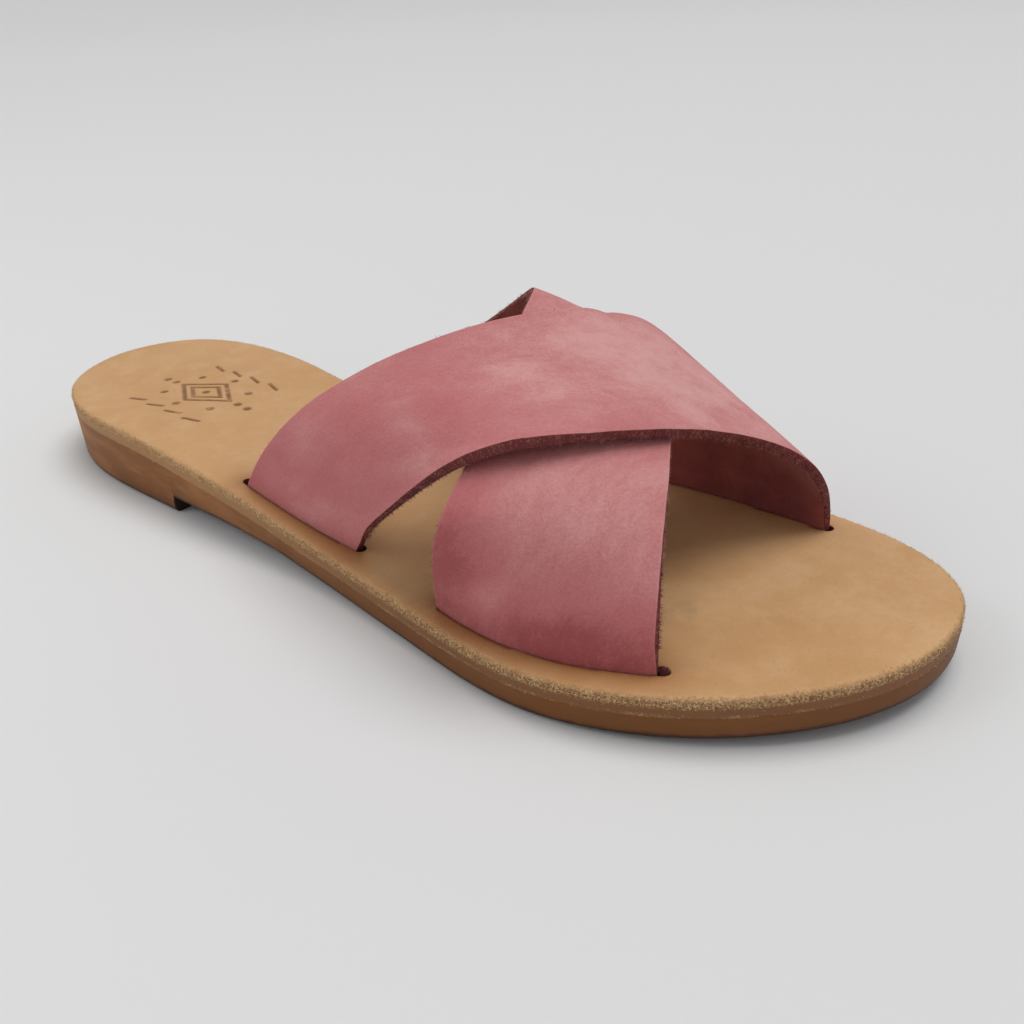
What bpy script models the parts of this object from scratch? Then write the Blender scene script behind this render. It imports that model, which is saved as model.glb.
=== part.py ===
"""Cross strap sandal for the right foot, in three solids.

The outsole carries its own low heel, the insole lies on it with four slots, and the upper is two
straps joined where they cross, their four ends tucked down through the slots.

Frame: metres, +Z up, the floor at z = 0, +X to the toe, +Y to the inner side of the foot. The
origin lies on the floor under the middle of the sole's length and width. The tables below are in
millimetres, with x measured forward from the back of the heel.
"""

from collections import namedtuple

import bmesh
import bpy
import numpy as np

MM = 0.001

# Driving sizes of the sole
INSOLE_THICKNESS = 4.0
OUTSOLE_THICKNESS = 5.2
SEAM = 0.3
STACK = INSOLE_THICKNESS + SEAM + OUTSOLE_THICKNESS
HEEL_BREAST = 74.0
BREAST_DRAFT = 0.1
SHANK_EXTRA = 3.8
SHANK_FADE = 42.0
SIDE_DRAFT = 0.02
STATIONS = 60

# Driving sizes of the straps
STRAP_THICKNESS = 2.0
OUTER_LEAN = 0.75
SLOT_CLEARANCE = 0.3
SLOT_END = 2.2
STEPS_PER_SPAN = 9
STEPS_ACROSS = 8
BOND_RADIUS = 3.0
BOND_SIDES = 16

# Outline of the insole: x from the heel, then the half widths on the inner and the outer side
Outline = namedtuple("Outline", "x inner outer")
HEEL_TIP = (0.0, 3.5)
TOE_TIP = (255.3, 8.5)
OUTLINE = [
    Outline(2, 13.5, 6.5),
    Outline(10, 24.5, 19.0),
    Outline(28, 31.0, 29.0),
    Outline(60, 29.5, 32.8),
    Outline(90, 26.8, 33.6),
    Outline(125, 30.3, 35.3),
    Outline(165, 40.3, 40.6),
    Outline(195, 43.7, 43.7),
    Outline(218, 42.2, 37.8),
    Outline(240, 35.0, 22.8),
    Outline(252, 23.7, 6.0),
]

# Height of the foot bed: level at the heel, down through the arch, level at the ball, up at the toe
Bed = namedtuple("Bed", "x height")
BED = [
    Bed(0, 18.5),
    Bed(50, 18.5),
    Bed(90, 15.6),
    Bed(130, 10.9),
    Bed(158, STACK),
    Bed(190, STACK),
    Bed(220, 10.5),
    Bed(256, 12.5),
]

# Edge profiles, top to bottom: how far the ring lies inside the outline, and its depth or height
Ring = namedtuple("Ring", "inset level")
INSOLE_EDGE = [
    Ring(0.9, 0.0),
    Ring(0.3, 0.3),
    Ring(0.0, 0.9),
    Ring(0.0, 3.4),
    Ring(0.4, INSOLE_THICKNESS),
]
OUTSOLE_TOP_EDGE = [Ring(0.5, 0.0), Ring(0.1, 0.4)]
OUTSOLE_TREAD_EDGE = [Ring(0.1, 1.1), Ring(0.35, 0.35), Ring(0.9, 0.0)]

# Cross lines of a strap's outer face from one slot to the other: its rear edge, its front edge and
# the outward bow between them. A slot's own height is the foot bed's, so it isn't given.
Cross = namedtuple("Cross", "place rear_x rear_y rear_z front_x front_y front_z bow")
OVER_STRAP = [
    Cross("outer rear slot", 101.5, -29.0, None, 140.5, -31.0, None, 0.2),
    Cross("outer side", 115.0, -26.5, 31.5, 159.5, -35.0, 29.0, 1.5),
    Cross("outer shoulder", 142.5, -16.0, 51.0, 180.0, -33.0, 44.5, 1.0),
    Cross("crest", 165.5, -0.5, 59.5, 201.0, -8.5, 45.5, 0.3),
    Cross("inner shoulder", 177.5, 23.0, 54.0, 209.5, 17.0, 36.5, 0.5),
    Cross("inner side", 180.0, 39.0, 38.5, 218.0, 32.5, 24.0, 0.5),
    Cross("inner front slot", 173.5, 38.0, None, 219.5, 36.0, None, 2.0),
]
UNDER_STRAP = [
    Cross("outer front slot", 169.5, -36.5, None, 217.0, -31.0, None, 4.5),
    Cross("outer side", 177.0, -41.5, 33.0, 210.0, -17.5, 35.5, 4.5),
    Cross("outer shoulder", 172.5, -21.0, 45.5, 202.5, -4.0, 41.0, 2.0),
    Cross("crest", 164.0, -2.0, 55.5, 196.0, 8.5, 42.0, 1.5),
    Cross("inner shoulder", 155.0, 16.5, 59.0, 189.0, 23.5, 44.0, 1.5),
    Cross("inner side", 131.5, 23.5, 44.0, 171.5, 34.5, 32.0, 0.5),
    Cross("inner rear slot", 100.0, 21.0, None, 145.0, 28.5, None, 0.0),
]

# Colours as linear values, with roughness
Finish = namedtuple("Finish", "name colour roughness")
TAN_LEATHER = Finish("insole_leather", (0.552, 0.328, 0.156), 0.6)
PINK_NUBUCK = Finish("strap_nubuck", (0.5, 0.18, 0.18), 0.85)
BROWN_UNIT = Finish("outsole_unit", (0.205, 0.088, 0.035), 0.45)

UP = np.array([0.0, 0.0, 1.0])


def clear_scene():
    for thing in list(bpy.data.objects):
        bpy.data.objects.remove(thing, do_unlink=True)


def monotone_curve(rows):
    """Smooth height over x that never swings past its own rows."""
    x = np.array([row[0] for row in rows], dtype=float)
    y = np.array([row[1] for row in rows], dtype=float)
    step = np.diff(x)
    slope = np.diff(y) / step
    tangent = np.zeros(len(x))
    for i in range(1, len(x) - 1):
        if slope[i - 1] * slope[i] > 0:
            tangent[i] = 2 * slope[i - 1] * slope[i] / (slope[i - 1] + slope[i])
    tangent[-1] = slope[-1]

    def height(at):
        at = np.clip(np.asarray(at, dtype=float), x[0], x[-1])
        k = np.clip(np.searchsorted(x, at, side="right") - 1, 0, len(x) - 2)
        s = (at - x[k]) / step[k]
        start = (1 + 2 * s) * (1 - s) ** 2 * y[k] + s * (1 - s) ** 2 * step[k] * tangent[k]
        end = s * s * (3 - 2 * s) * y[k + 1] + s * s * (s - 1) * step[k] * tangent[k + 1]
        return start + end

    return height


def hermite(points, tangents, lengths, span, s):
    """Points on the cubic pieces between given points, by the fraction s of each span."""
    s = s[:, None]
    h = lengths[span][:, None]
    after = (span + 1) % len(points)
    start = (1 + 2 * s) * (1 - s) ** 2 * points[span] + s * (1 - s) ** 2 * h * tangents[span]
    end = s * s * (3 - 2 * s) * points[after] + s * s * (s - 1) * h * tangents[after]
    return start + end


def closed_curve(points, per_span):
    """Smooth closed curve through the points."""
    points = np.array(points, dtype=float)
    count = len(points)
    ahead = np.roll(points, -1, axis=0) - points
    lengths = np.linalg.norm(ahead, axis=1)
    system = np.zeros((count, count))
    right = np.zeros(points.shape)
    for i in range(count):
        before = lengths[i - 1]
        after = lengths[i]
        system[i, i - 1] = after
        system[i, i] = 2 * (before + after)
        system[i, (i + 1) % count] = before
        right[i] = 3 * (after * ahead[i - 1] / before + before * ahead[i] / after)
    tangents = np.linalg.solve(system, right)
    span = np.repeat(np.arange(count), per_span)
    s = np.tile(np.arange(per_span) / per_span, count)
    return hermite(points, tangents, lengths, span, s)


def open_curve(points, start, end, per_span):
    """Smooth curve through the points that starts and ends in the given directions."""
    points = np.array(points, dtype=float)
    count = len(points)
    ahead = np.diff(points, axis=0)
    lengths = np.linalg.norm(ahead, axis=1)
    system = np.eye(count)
    right = np.zeros(points.shape)
    right[0] = start
    right[-1] = end
    for i in range(1, count - 1):
        before = lengths[i - 1]
        after = lengths[i]
        system[i, i - 1] = after
        system[i, i] = 2 * (before + after)
        system[i, i + 1] = before
        right[i] = 3 * (after * ahead[i - 1] / before + before * ahead[i] / after)
    tangents = np.linalg.solve(system, right)
    span = np.append(np.repeat(np.arange(count - 1), per_span), count - 2)
    s = np.append(np.tile(np.arange(per_span) / per_span, count - 1), 1.0)
    return hermite(points, tangents, lengths, span, s)


bed_height = monotone_curve(BED)


def sole_outline():
    """The two sides of the outline, from heel tip to toe tip, and the middle of their box."""
    inner = [(row.x, row.inner) for row in OUTLINE]
    outer = [(row.x, -row.outer) for row in OUTLINE]
    loop = closed_curve([HEEL_TIP] + inner + [TOE_TIP] + outer[::-1], 24)
    loop = np.roll(loop, -int(np.argmin(loop[:, 0])), axis=0)
    toe = int(np.argmax(loop[:, 0]))
    inner_side = loop[: toe + 1]
    outer_side = np.vstack([loop[toe:], loop[:1]])[::-1]
    middle = (loop.min(axis=0) + loop.max(axis=0)) / 2
    return inner_side, outer_side, middle


INNER_SIDE, OUTER_SIDE, MIDDLE = sole_outline()


def to_frame(points):
    """Table millimetres to the part's frame in metres."""
    shift = np.array([MIDDLE[0], MIDDLE[1], 0.0])
    return (np.asarray(points) - shift) * MM


def station_xs():
    """Stations along the sole, close together at both tips, with a pair at the heel breast."""
    first = INNER_SIDE[0, 0]
    last = INNER_SIDE[-1, 0]
    turn = np.linspace(0, np.pi, STATIONS + 1)
    even = first + (last - first) * (1 - np.cos(turn)) / 2
    fixed = [HEEL_BREAST - BREAST_DRAFT, HEEL_BREAST + BREAST_DRAFT]
    fixed += [row.x for row in BED if row.height == STACK]
    room = 1.5
    kept = [x for x in even if min(abs(x - f) for f in fixed) > room]
    return np.array(sorted(kept + fixed))


def sole_loop():
    """Closed loop of outline points: out along the inner side, back along the outer side."""
    xs = station_xs()
    inner = np.column_stack([xs, np.interp(xs, INNER_SIDE[:, 0], INNER_SIDE[:, 1])])
    outer = np.column_stack([xs, np.interp(xs, OUTER_SIDE[:, 0], OUTER_SIDE[:, 1])])
    return np.vstack([inner, outer[-2:0:-1]])


def inset_loop(loop, inset):
    """The loop moved inwards, by one distance or by one for each point."""
    along = np.roll(loop, -1, axis=0) - np.roll(loop, 1, axis=0)
    along /= np.linalg.norm(along, axis=1)[:, None]
    inward = np.column_stack([along[:, 1], -along[:, 0]])
    return loop + inward * np.broadcast_to(inset, len(loop))[:, None]


def finish_mesh(name, bm):
    bmesh.ops.recalc_face_normals(bm, faces=bm.faces)
    mesh = bpy.data.meshes.new(name)
    bm.to_mesh(mesh)
    bm.free()
    mesh.shade_smooth()
    mesh.set_sharp_from_angle(angle=np.radians(35))
    thing = bpy.data.objects.new(name, mesh)
    bpy.context.scene.collection.objects.link(thing)
    return thing


def stacked_rings(name, rings):
    """Closed solid from rings of the sole loop, top to bottom, capped across from side to side."""
    bm = bmesh.new()
    rows = [[bm.verts.new(point) for point in to_frame(ring)] for ring in rings]
    count = len(rows[0])
    for upper, lower in zip(rows, rows[1:]):
        for i in range(count):
            j = (i + 1) % count
            bm.faces.new((upper[i], upper[j], lower[j], lower[i]))
    half = count // 2
    for row in (rows[0], rows[-1]):
        bm.faces.new((row[0], row[1], row[-1]))
        for i in range(1, half - 1):
            bm.faces.new((row[i], row[i + 1], row[-i - 1], row[-i]))
        bm.faces.new((row[half - 1], row[half], row[half + 1]))
    return finish_mesh(name, bm)


def underside(x):
    """Height of the tread: flat under the heel, arched in the shank, flat at the ball."""
    extra = SHANK_EXTRA * np.clip(1 - (x - HEEL_BREAST) / SHANK_FADE, 0.0, 1.0)
    arch = np.maximum(bed_height(x) - STACK - extra, 0.0)
    return np.where(x < HEEL_BREAST, 0.0, arch)


def make_insole():
    loop = sole_loop()
    rings = []
    for ring in INSOLE_EDGE:
        edge = inset_loop(loop, ring.inset)
        rings.append(np.column_stack([edge, bed_height(edge[:, 0]) - ring.level]))
    return stacked_rings("insole", rings)


def make_outsole():
    loop = sole_loop()
    top_of = bed_height(loop[:, 0]) - INSOLE_THICKNESS - SEAM
    draft = SIDE_DRAFT * (top_of - underside(loop[:, 0]))
    rings = []
    for ring in OUTSOLE_TOP_EDGE:
        edge = inset_loop(loop, ring.inset)
        top = bed_height(edge[:, 0]) - INSOLE_THICKNESS - SEAM
        rings.append(np.column_stack([edge, top - ring.level]))
    for ring in OUTSOLE_TREAD_EDGE:
        edge = inset_loop(loop, ring.inset + draft)
        rings.append(np.column_stack([edge, underside(edge[:, 0]) + ring.level]))
    return stacked_rings("outsole", rings)


def mouth_height(x, z):
    """A slot's cross line lies on the foot bed, where the table gives no height."""
    return float(bed_height(x)) if z is None else z


def strap_edge(points, lean):
    """Smooth edge of a strap from slot to slot. It leaves its first slot upright, or leans, by that
    share, towards its own run.
    """
    run = np.subtract(points[1], points[0])
    rise = UP * (1 - lean) + run / np.linalg.norm(run) * lean
    return open_curve(points, rise / np.linalg.norm(rise), -UP, STEPS_PER_SPAN)


def strap_sheet(table, lean):
    """Middle of a strap's thickness: rows of points across it, from one tucked end to the other."""
    rear = [(c.rear_x, c.rear_y, mouth_height(c.rear_x, c.rear_z)) for c in table]
    front = [(c.front_x, c.front_y, mouth_height(c.front_x, c.front_z)) for c in table]
    rear = strap_edge(rear, lean)
    front = strap_edge(front, lean)
    steps = np.linspace(0, len(table) - 1, len(rear))
    bow = np.interp(steps, np.arange(len(table)), [c.bow for c in table])
    outward = outward_normals(rear, front)
    across = np.linspace(0, 1, STEPS_ACROSS + 1)[None, :, None]
    sheet = rear[:, None] * (1 - across) + front[:, None] * across
    rise = bow[:, None, None] * 4 * across * (1 - across) - STRAP_THICKNESS / 2
    sheet = sheet + outward[:, None] * rise
    sheet[[0, -1], :, 2] = bed_height(sheet[[0, -1], :, 0])
    tuck = UP * INSOLE_THICKNESS
    return np.concatenate([sheet[:1] - tuck, sheet, sheet[-1:] - tuck])


def outward_normals(rear, front):
    """Directions away from the foot at each cross line; level at the slots."""
    along = np.gradient((rear + front) / 2, axis=0)
    along[0] = UP
    along[-1] = -UP
    normals = np.cross(front - rear, along)
    normals /= np.linalg.norm(normals, axis=1)[:, None]
    crest = len(rear) // 2
    return normals * np.sign(normals[crest] @ UP)


def strap_mesh(name, sheet):
    """The strap as a thin open sheet, which a modifier then gives its thickness."""
    bm = bmesh.new()
    rows = [[bm.verts.new(point) for point in to_frame(row)] for row in sheet]
    for upper, lower in zip(rows, rows[1:]):
        for j in range(len(upper) - 1):
            bm.faces.new((upper[j], upper[j + 1], lower[j + 1], lower[j]))
    strap = finish_mesh(name, bm)
    wall = strap.modifiers.new("leather thickness", "SOLIDIFY")
    wall.thickness = STRAP_THICKNESS * MM
    wall.offset = 0.0
    wall.use_even_offset = True
    return strap


def mark_as_guide(thing):
    thing.hide_render = True
    thing.display_type = "WIRE"


def bond_mesh(over, under):
    """Short round plug between the straps where they come closest: the glued spot."""
    inside = slice(STEPS_ACROSS // 4, -(STEPS_ACROSS // 4))
    upper = over[:, inside].reshape(-1, 3)
    lower = under[:, inside].reshape(-1, 3)
    apart = np.linalg.norm(upper[:, None] - lower[None], axis=2)
    i, j = np.unravel_index(np.argmin(apart), apart.shape)
    top = upper[i]
    bottom = lower[j]
    axis = (top - bottom) / np.linalg.norm(top - bottom)
    side = np.cross(axis, [0.0, 1.0, 0.0])
    side /= np.linalg.norm(side)
    other = np.cross(axis, side)
    bm = bmesh.new()
    ring = []
    for turn in np.arange(BOND_SIDES) * 2 * np.pi / BOND_SIDES:
        rim = bottom + BOND_RADIUS * (side * np.cos(turn) + other * np.sin(turn))
        ring.append(bm.verts.new(to_frame(rim)))
    floor = bm.faces.new(ring)
    grown = bmesh.ops.extrude_face_region(bm, geom=[floor])["geom"]
    lifted = [v for v in grown if isinstance(v, bmesh.types.BMVert)]
    bmesh.ops.translate(bm, verts=lifted, vec=(top - bottom) * MM)
    return finish_mesh("bond_guide", bm)


def make_upper(over, under):
    upper = strap_mesh("upper", over)
    guides = [strap_mesh("under_strap_guide", under), bond_mesh(over, under)]
    for guide in guides:
        mark_as_guide(guide)
        join = upper.modifiers.new("join " + guide.name, "BOOLEAN")
        join.operation = "UNION"
        join.solver = "EXACT"
        join.object = guide
    return upper


def slot_outline(cross_line):
    """Plan outline of a slot: the strap's cross line, made longer and given a width."""
    line = cross_line[:, :2]
    first = line[0] - line[1]
    last = line[-1] - line[-2]
    start = line[0] + first / np.linalg.norm(first) * SLOT_END
    end = line[-1] + last / np.linalg.norm(last) * SLOT_END
    line = np.vstack([start, line, end])
    along = np.gradient(line, axis=0)
    along /= np.linalg.norm(along, axis=1)[:, None]
    sideways = np.column_stack([along[:, 1], -along[:, 0]])
    half = STRAP_THICKNESS / 2 + SLOT_CLEARANCE
    return np.vstack([line + sideways * half, (line - sideways * half)[::-1]])


def make_slot_cutter(sheets):
    """One block for each strap end, standing through the insole."""
    bm = bmesh.new()
    reach = INSOLE_THICKNESS
    for sheet in sheets:
        for cross_line in (sheet[0], sheet[-1]):
            low = cross_line[:, 2].min() - reach
            high = cross_line[:, 2].max() + INSOLE_THICKNESS + reach
            outline = slot_outline(cross_line)
            ring = np.column_stack([outline, np.full(len(outline), low)])
            floor = bm.faces.new([bm.verts.new(point) for point in to_frame(ring)])
            grown = bmesh.ops.extrude_face_region(bm, geom=[floor])["geom"]
            lifted = [v for v in grown if isinstance(v, bmesh.types.BMVert)]
            bmesh.ops.translate(bm, verts=lifted, vec=UP * (high - low) * MM)
    cutter = finish_mesh("slot_cutter", bm)
    mark_as_guide(cutter)
    return cutter


def cut_slots(insole, cutter):
    cut = insole.modifiers.new("strap slots", "BOOLEAN")
    cut.operation = "DIFFERENCE"
    cut.solver = "EXACT"
    cut.object = cutter


def paint(thing, finish):
    material = bpy.data.materials.new(finish.name)
    material.use_nodes = True
    shader = material.node_tree.nodes["Principled BSDF"]
    shader.inputs["Base Color"].default_value = (*finish.colour, 1.0)
    shader.inputs["Roughness"].default_value = finish.roughness
    shader.inputs["Metallic"].default_value = 0.0
    thing.data.materials.clear()
    thing.data.materials.append(material)


def build_sandal():
    over = strap_sheet(OVER_STRAP, OUTER_LEAN)
    under = strap_sheet(UNDER_STRAP, 0.0)
    insole = make_insole()
    cut_slots(insole, make_slot_cutter([over, under]))
    paint(insole, TAN_LEATHER)
    paint(make_outsole(), BROWN_UNIT)
    paint(make_upper(over, under), PINK_NUBUCK)


clear_scene()
build_sandal()
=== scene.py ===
"""Looks of the cross strap sandal: nubuck straps, a tanned leather foot bed and a moulded brown sole.

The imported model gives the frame: metres, +Z up, the floor at z = 0, +X to the toe and +Y to the inner
side of the foot. The tables below repeat the maker's pattern in millimetres, with x measured forward
from the back of the heel, so that each finer piece has the form of the solid that it stands for.
"""

from __future__ import annotations

import logging
import math
from dataclasses import dataclass, field
from enum import Enum
from functools import cached_property
from typing import Callable, Sequence

import bmesh
import bpy
import numpy as np
from mathutils import Matrix, Vector, noise

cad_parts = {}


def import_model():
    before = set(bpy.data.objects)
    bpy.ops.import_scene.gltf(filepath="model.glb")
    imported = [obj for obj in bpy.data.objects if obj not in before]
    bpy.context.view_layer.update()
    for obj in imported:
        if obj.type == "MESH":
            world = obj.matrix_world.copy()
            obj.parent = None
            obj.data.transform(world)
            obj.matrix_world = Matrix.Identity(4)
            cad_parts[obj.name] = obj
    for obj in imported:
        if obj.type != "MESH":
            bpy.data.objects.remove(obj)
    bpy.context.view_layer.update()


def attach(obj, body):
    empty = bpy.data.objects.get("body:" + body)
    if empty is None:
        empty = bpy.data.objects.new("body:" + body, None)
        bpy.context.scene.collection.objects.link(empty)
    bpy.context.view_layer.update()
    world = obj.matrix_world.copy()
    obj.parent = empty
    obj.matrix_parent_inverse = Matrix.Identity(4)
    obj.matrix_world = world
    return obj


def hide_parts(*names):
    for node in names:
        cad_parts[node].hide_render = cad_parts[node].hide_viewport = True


MM = 0.001
UP = np.array([0.0, 0.0, 1.0])
ROOT = "root"
LOG = logging.getLogger("sandal")

Colour = tuple[float, float, float]
Socket = bpy.types.NodeSocket


class Slot(Enum):
    """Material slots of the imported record."""

    STRAP = "strap_nubuck"
    INSOLE = "insole_leather"
    OUTSOLE = "outsole_unit"


@dataclass(frozen=True)
class Station:
    """Half widths of the sole's outline at one distance from the heel."""

    x: float
    inner: float
    outer: float


@dataclass(frozen=True)
class BedLevel:
    """Height of the foot bed at one distance from the heel."""

    x: float
    height: float


@dataclass(frozen=True)
class Ring:
    """Ring of an edge profile: its inset from the outline, and its depth or height."""

    inset: float
    level: float


@dataclass(frozen=True)
class CrossLine:
    """Line across a strap's outer face. A slot's own height is the foot bed's, so it has none."""

    rear: tuple[float, float, float | None]
    front: tuple[float, float, float | None]
    bow: float


@dataclass(frozen=True)
class Fold:
    """Soft trough or ridge in a strap, between two places given as (mm along, share across)."""

    start: tuple[float, float]
    end: tuple[float, float]
    height: float
    width: float

    def lift(self, along: np.ndarray, across: np.ndarray) -> np.ndarray:
        """Height at places given in millimetres along and across the strap, row by row.

        Args:
            along: Millimetres along the strap.
            across: Millimetres from its rear edge.

        Returns:
            The height at each place, in millimetres.
        """
        here = np.stack([along, across], -1)
        start, end = (
            np.stack([np.full(along.shape, place), share * across[:, -1:] + 0 * along], -1)
            for place, share in (self.start, self.end)
        )
        run = end - start
        t = np.clip(((here - start) * run).sum(-1) / (run * run).sum(-1), 0, 1)
        gap = np.linalg.norm(here - start - run * t[..., None], axis=-1)
        return self.height * np.exp(-((gap / self.width) ** 2))


@dataclass(frozen=True)
class Curl:
    """Outward turn of a strap's front edge between two places along it, all in millimetres."""

    start: float
    end: float
    height: float
    reach: float
    fade_in: float = 8.0
    fade_out: float = 12.0
    sharpness: float = 1.6

    def lift(self, along: np.ndarray, across: np.ndarray) -> np.ndarray:
        """Height at places given in millimetres along and across the strap, row by row.

        Args:
            along: Millimetres along the strap.
            across: Millimetres from its rear edge.

        Returns:
            The height at each place, in millimetres.
        """
        begun = np.clip((along - self.start) / self.fade_in, 0, 1)
        left = np.clip((self.end - along) / self.fade_out, 0, 1)
        inside = across[:, -1:] - across
        return self.height * (begun * left) * np.clip(1 - inside / self.reach, 0, 1) ** self.sharpness


@dataclass(frozen=True)
class Cloud:
    """Soft cloud in a strap's colour or texture.

    Its middle is given as millimetres along and share across, its reach and width in millimetres, and
    its turn in degrees from the strap's run. A strength above zero is pale and one below it deep.
    """

    along: float
    across: float
    reach: float
    width: float
    turn: float
    strength: float


@dataclass(frozen=True)
class Grain:
    """Noise of a finish: width of its largest lumps in millimetres, finer layers and their strength."""

    size: float
    detail: float = 3.0
    roughness: float = 0.5


def monotone_curve(rows: Sequence[tuple[float, float]]) -> Callable[[np.ndarray], np.ndarray]:
    """Smooth height over x that never swings past its own rows.

    Args:
        rows: Pairs of x and height, in order of x.

    Returns:
        A function from x to height, both in millimetres.
    """
    x, y = np.array(rows, dtype=float).T
    step = np.diff(x)
    slope = np.diff(y) / step
    tangent = np.zeros(len(x))
    for i in range(1, len(x) - 1):
        if slope[i - 1] * slope[i] > 0:
            tangent[i] = 2 * slope[i - 1] * slope[i] / (slope[i - 1] + slope[i])
    tangent[-1] = slope[-1]

    def height(at: np.ndarray) -> np.ndarray:
        """Height at the given x."""
        at = np.clip(np.asarray(at, dtype=float), x[0], x[-1])
        k = np.clip(np.searchsorted(x, at, side="right") - 1, 0, len(x) - 2)
        s = (at - x[k]) / step[k]
        start = (1 + 2 * s) * (1 - s) ** 2 * y[k] + s * (1 - s) ** 2 * step[k] * tangent[k]
        end = s * s * (3 - 2 * s) * y[k + 1] + s * s * (s - 1) * step[k] * tangent[k + 1]
        return start + end

    return height


def hermite(
    points: np.ndarray, tangents: np.ndarray, lengths: np.ndarray, span: np.ndarray, s: np.ndarray
) -> np.ndarray:
    """Points on the cubic pieces between given points.

    Args:
        points: The given points, a row each.
        tangents: The curve's direction at each given point.
        lengths: The length of each piece's chord.
        span: The piece that each wanted point lies on.
        s: The share of that piece at which it lies.

    Returns:
        The wanted points, a row each.
    """
    s = s[:, None]
    h = lengths[span][:, None]
    after = (span + 1) % len(points)
    start = (1 + 2 * s) * (1 - s) ** 2 * points[span] + s * (1 - s) ** 2 * h * tangents[span]
    end = s * s * (3 - 2 * s) * points[after] + s * s * (s - 1) * h * tangents[after]
    return start + end


def smooth_curve(
    points: Sequence[tuple[float, ...]], per_span: int, ends: tuple[np.ndarray, np.ndarray] | None = None
) -> np.ndarray:
    """Smooth curve through the points, closed where its ends have no given directions.

    Args:
        points: Points in order along the curve.
        per_span: Steps between two of them.
        ends: Directions at the first and the last point of an open curve.

    Returns:
        The curve's points, a row each.
    """
    given = np.array(points, dtype=float)
    count = len(given)
    ahead = np.roll(given, -1, axis=0) - given
    lengths = np.linalg.norm(ahead, axis=1)
    system = np.zeros((count, count))
    right = np.zeros(given.shape)
    for i in range(count):
        before, after = lengths[i - 1], lengths[i]
        system[i, i - 1] = after
        system[i, i] = 2 * (before + after)
        system[i, (i + 1) % count] = before
        right[i] = 3 * (after * ahead[i - 1] / before + before * ahead[i] / after)
    spans = count
    if ends is not None:
        spans = count - 1
        system[[0, -1]] = np.eye(count)[[0, -1]]
        right[[0, -1]] = ends
    tangents = np.linalg.solve(system, right)
    span = np.repeat(np.arange(spans), per_span)
    s = np.tile(np.arange(per_span) / per_span, spans)
    if ends is not None:
        span = np.append(span, spans - 1)
        s = np.append(s, 1.0)
    return hermite(given, tangents, lengths, span, s)


def rough(points: np.ndarray, size: float, octaves: int = 3) -> np.ndarray:
    """Soft repeatable noise at points in millimetres.

    Args:
        points: The places, a row each.
        size: Width of the noise's largest lumps, in millimetres.
        octaves: How many finer layers it has.

    Returns:
        One value for each place, roughly from -1 to 1.
    """
    return np.array([noise.fractal(Vector(p) / size, 0.8, 2.0, octaves) for p in points])


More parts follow.
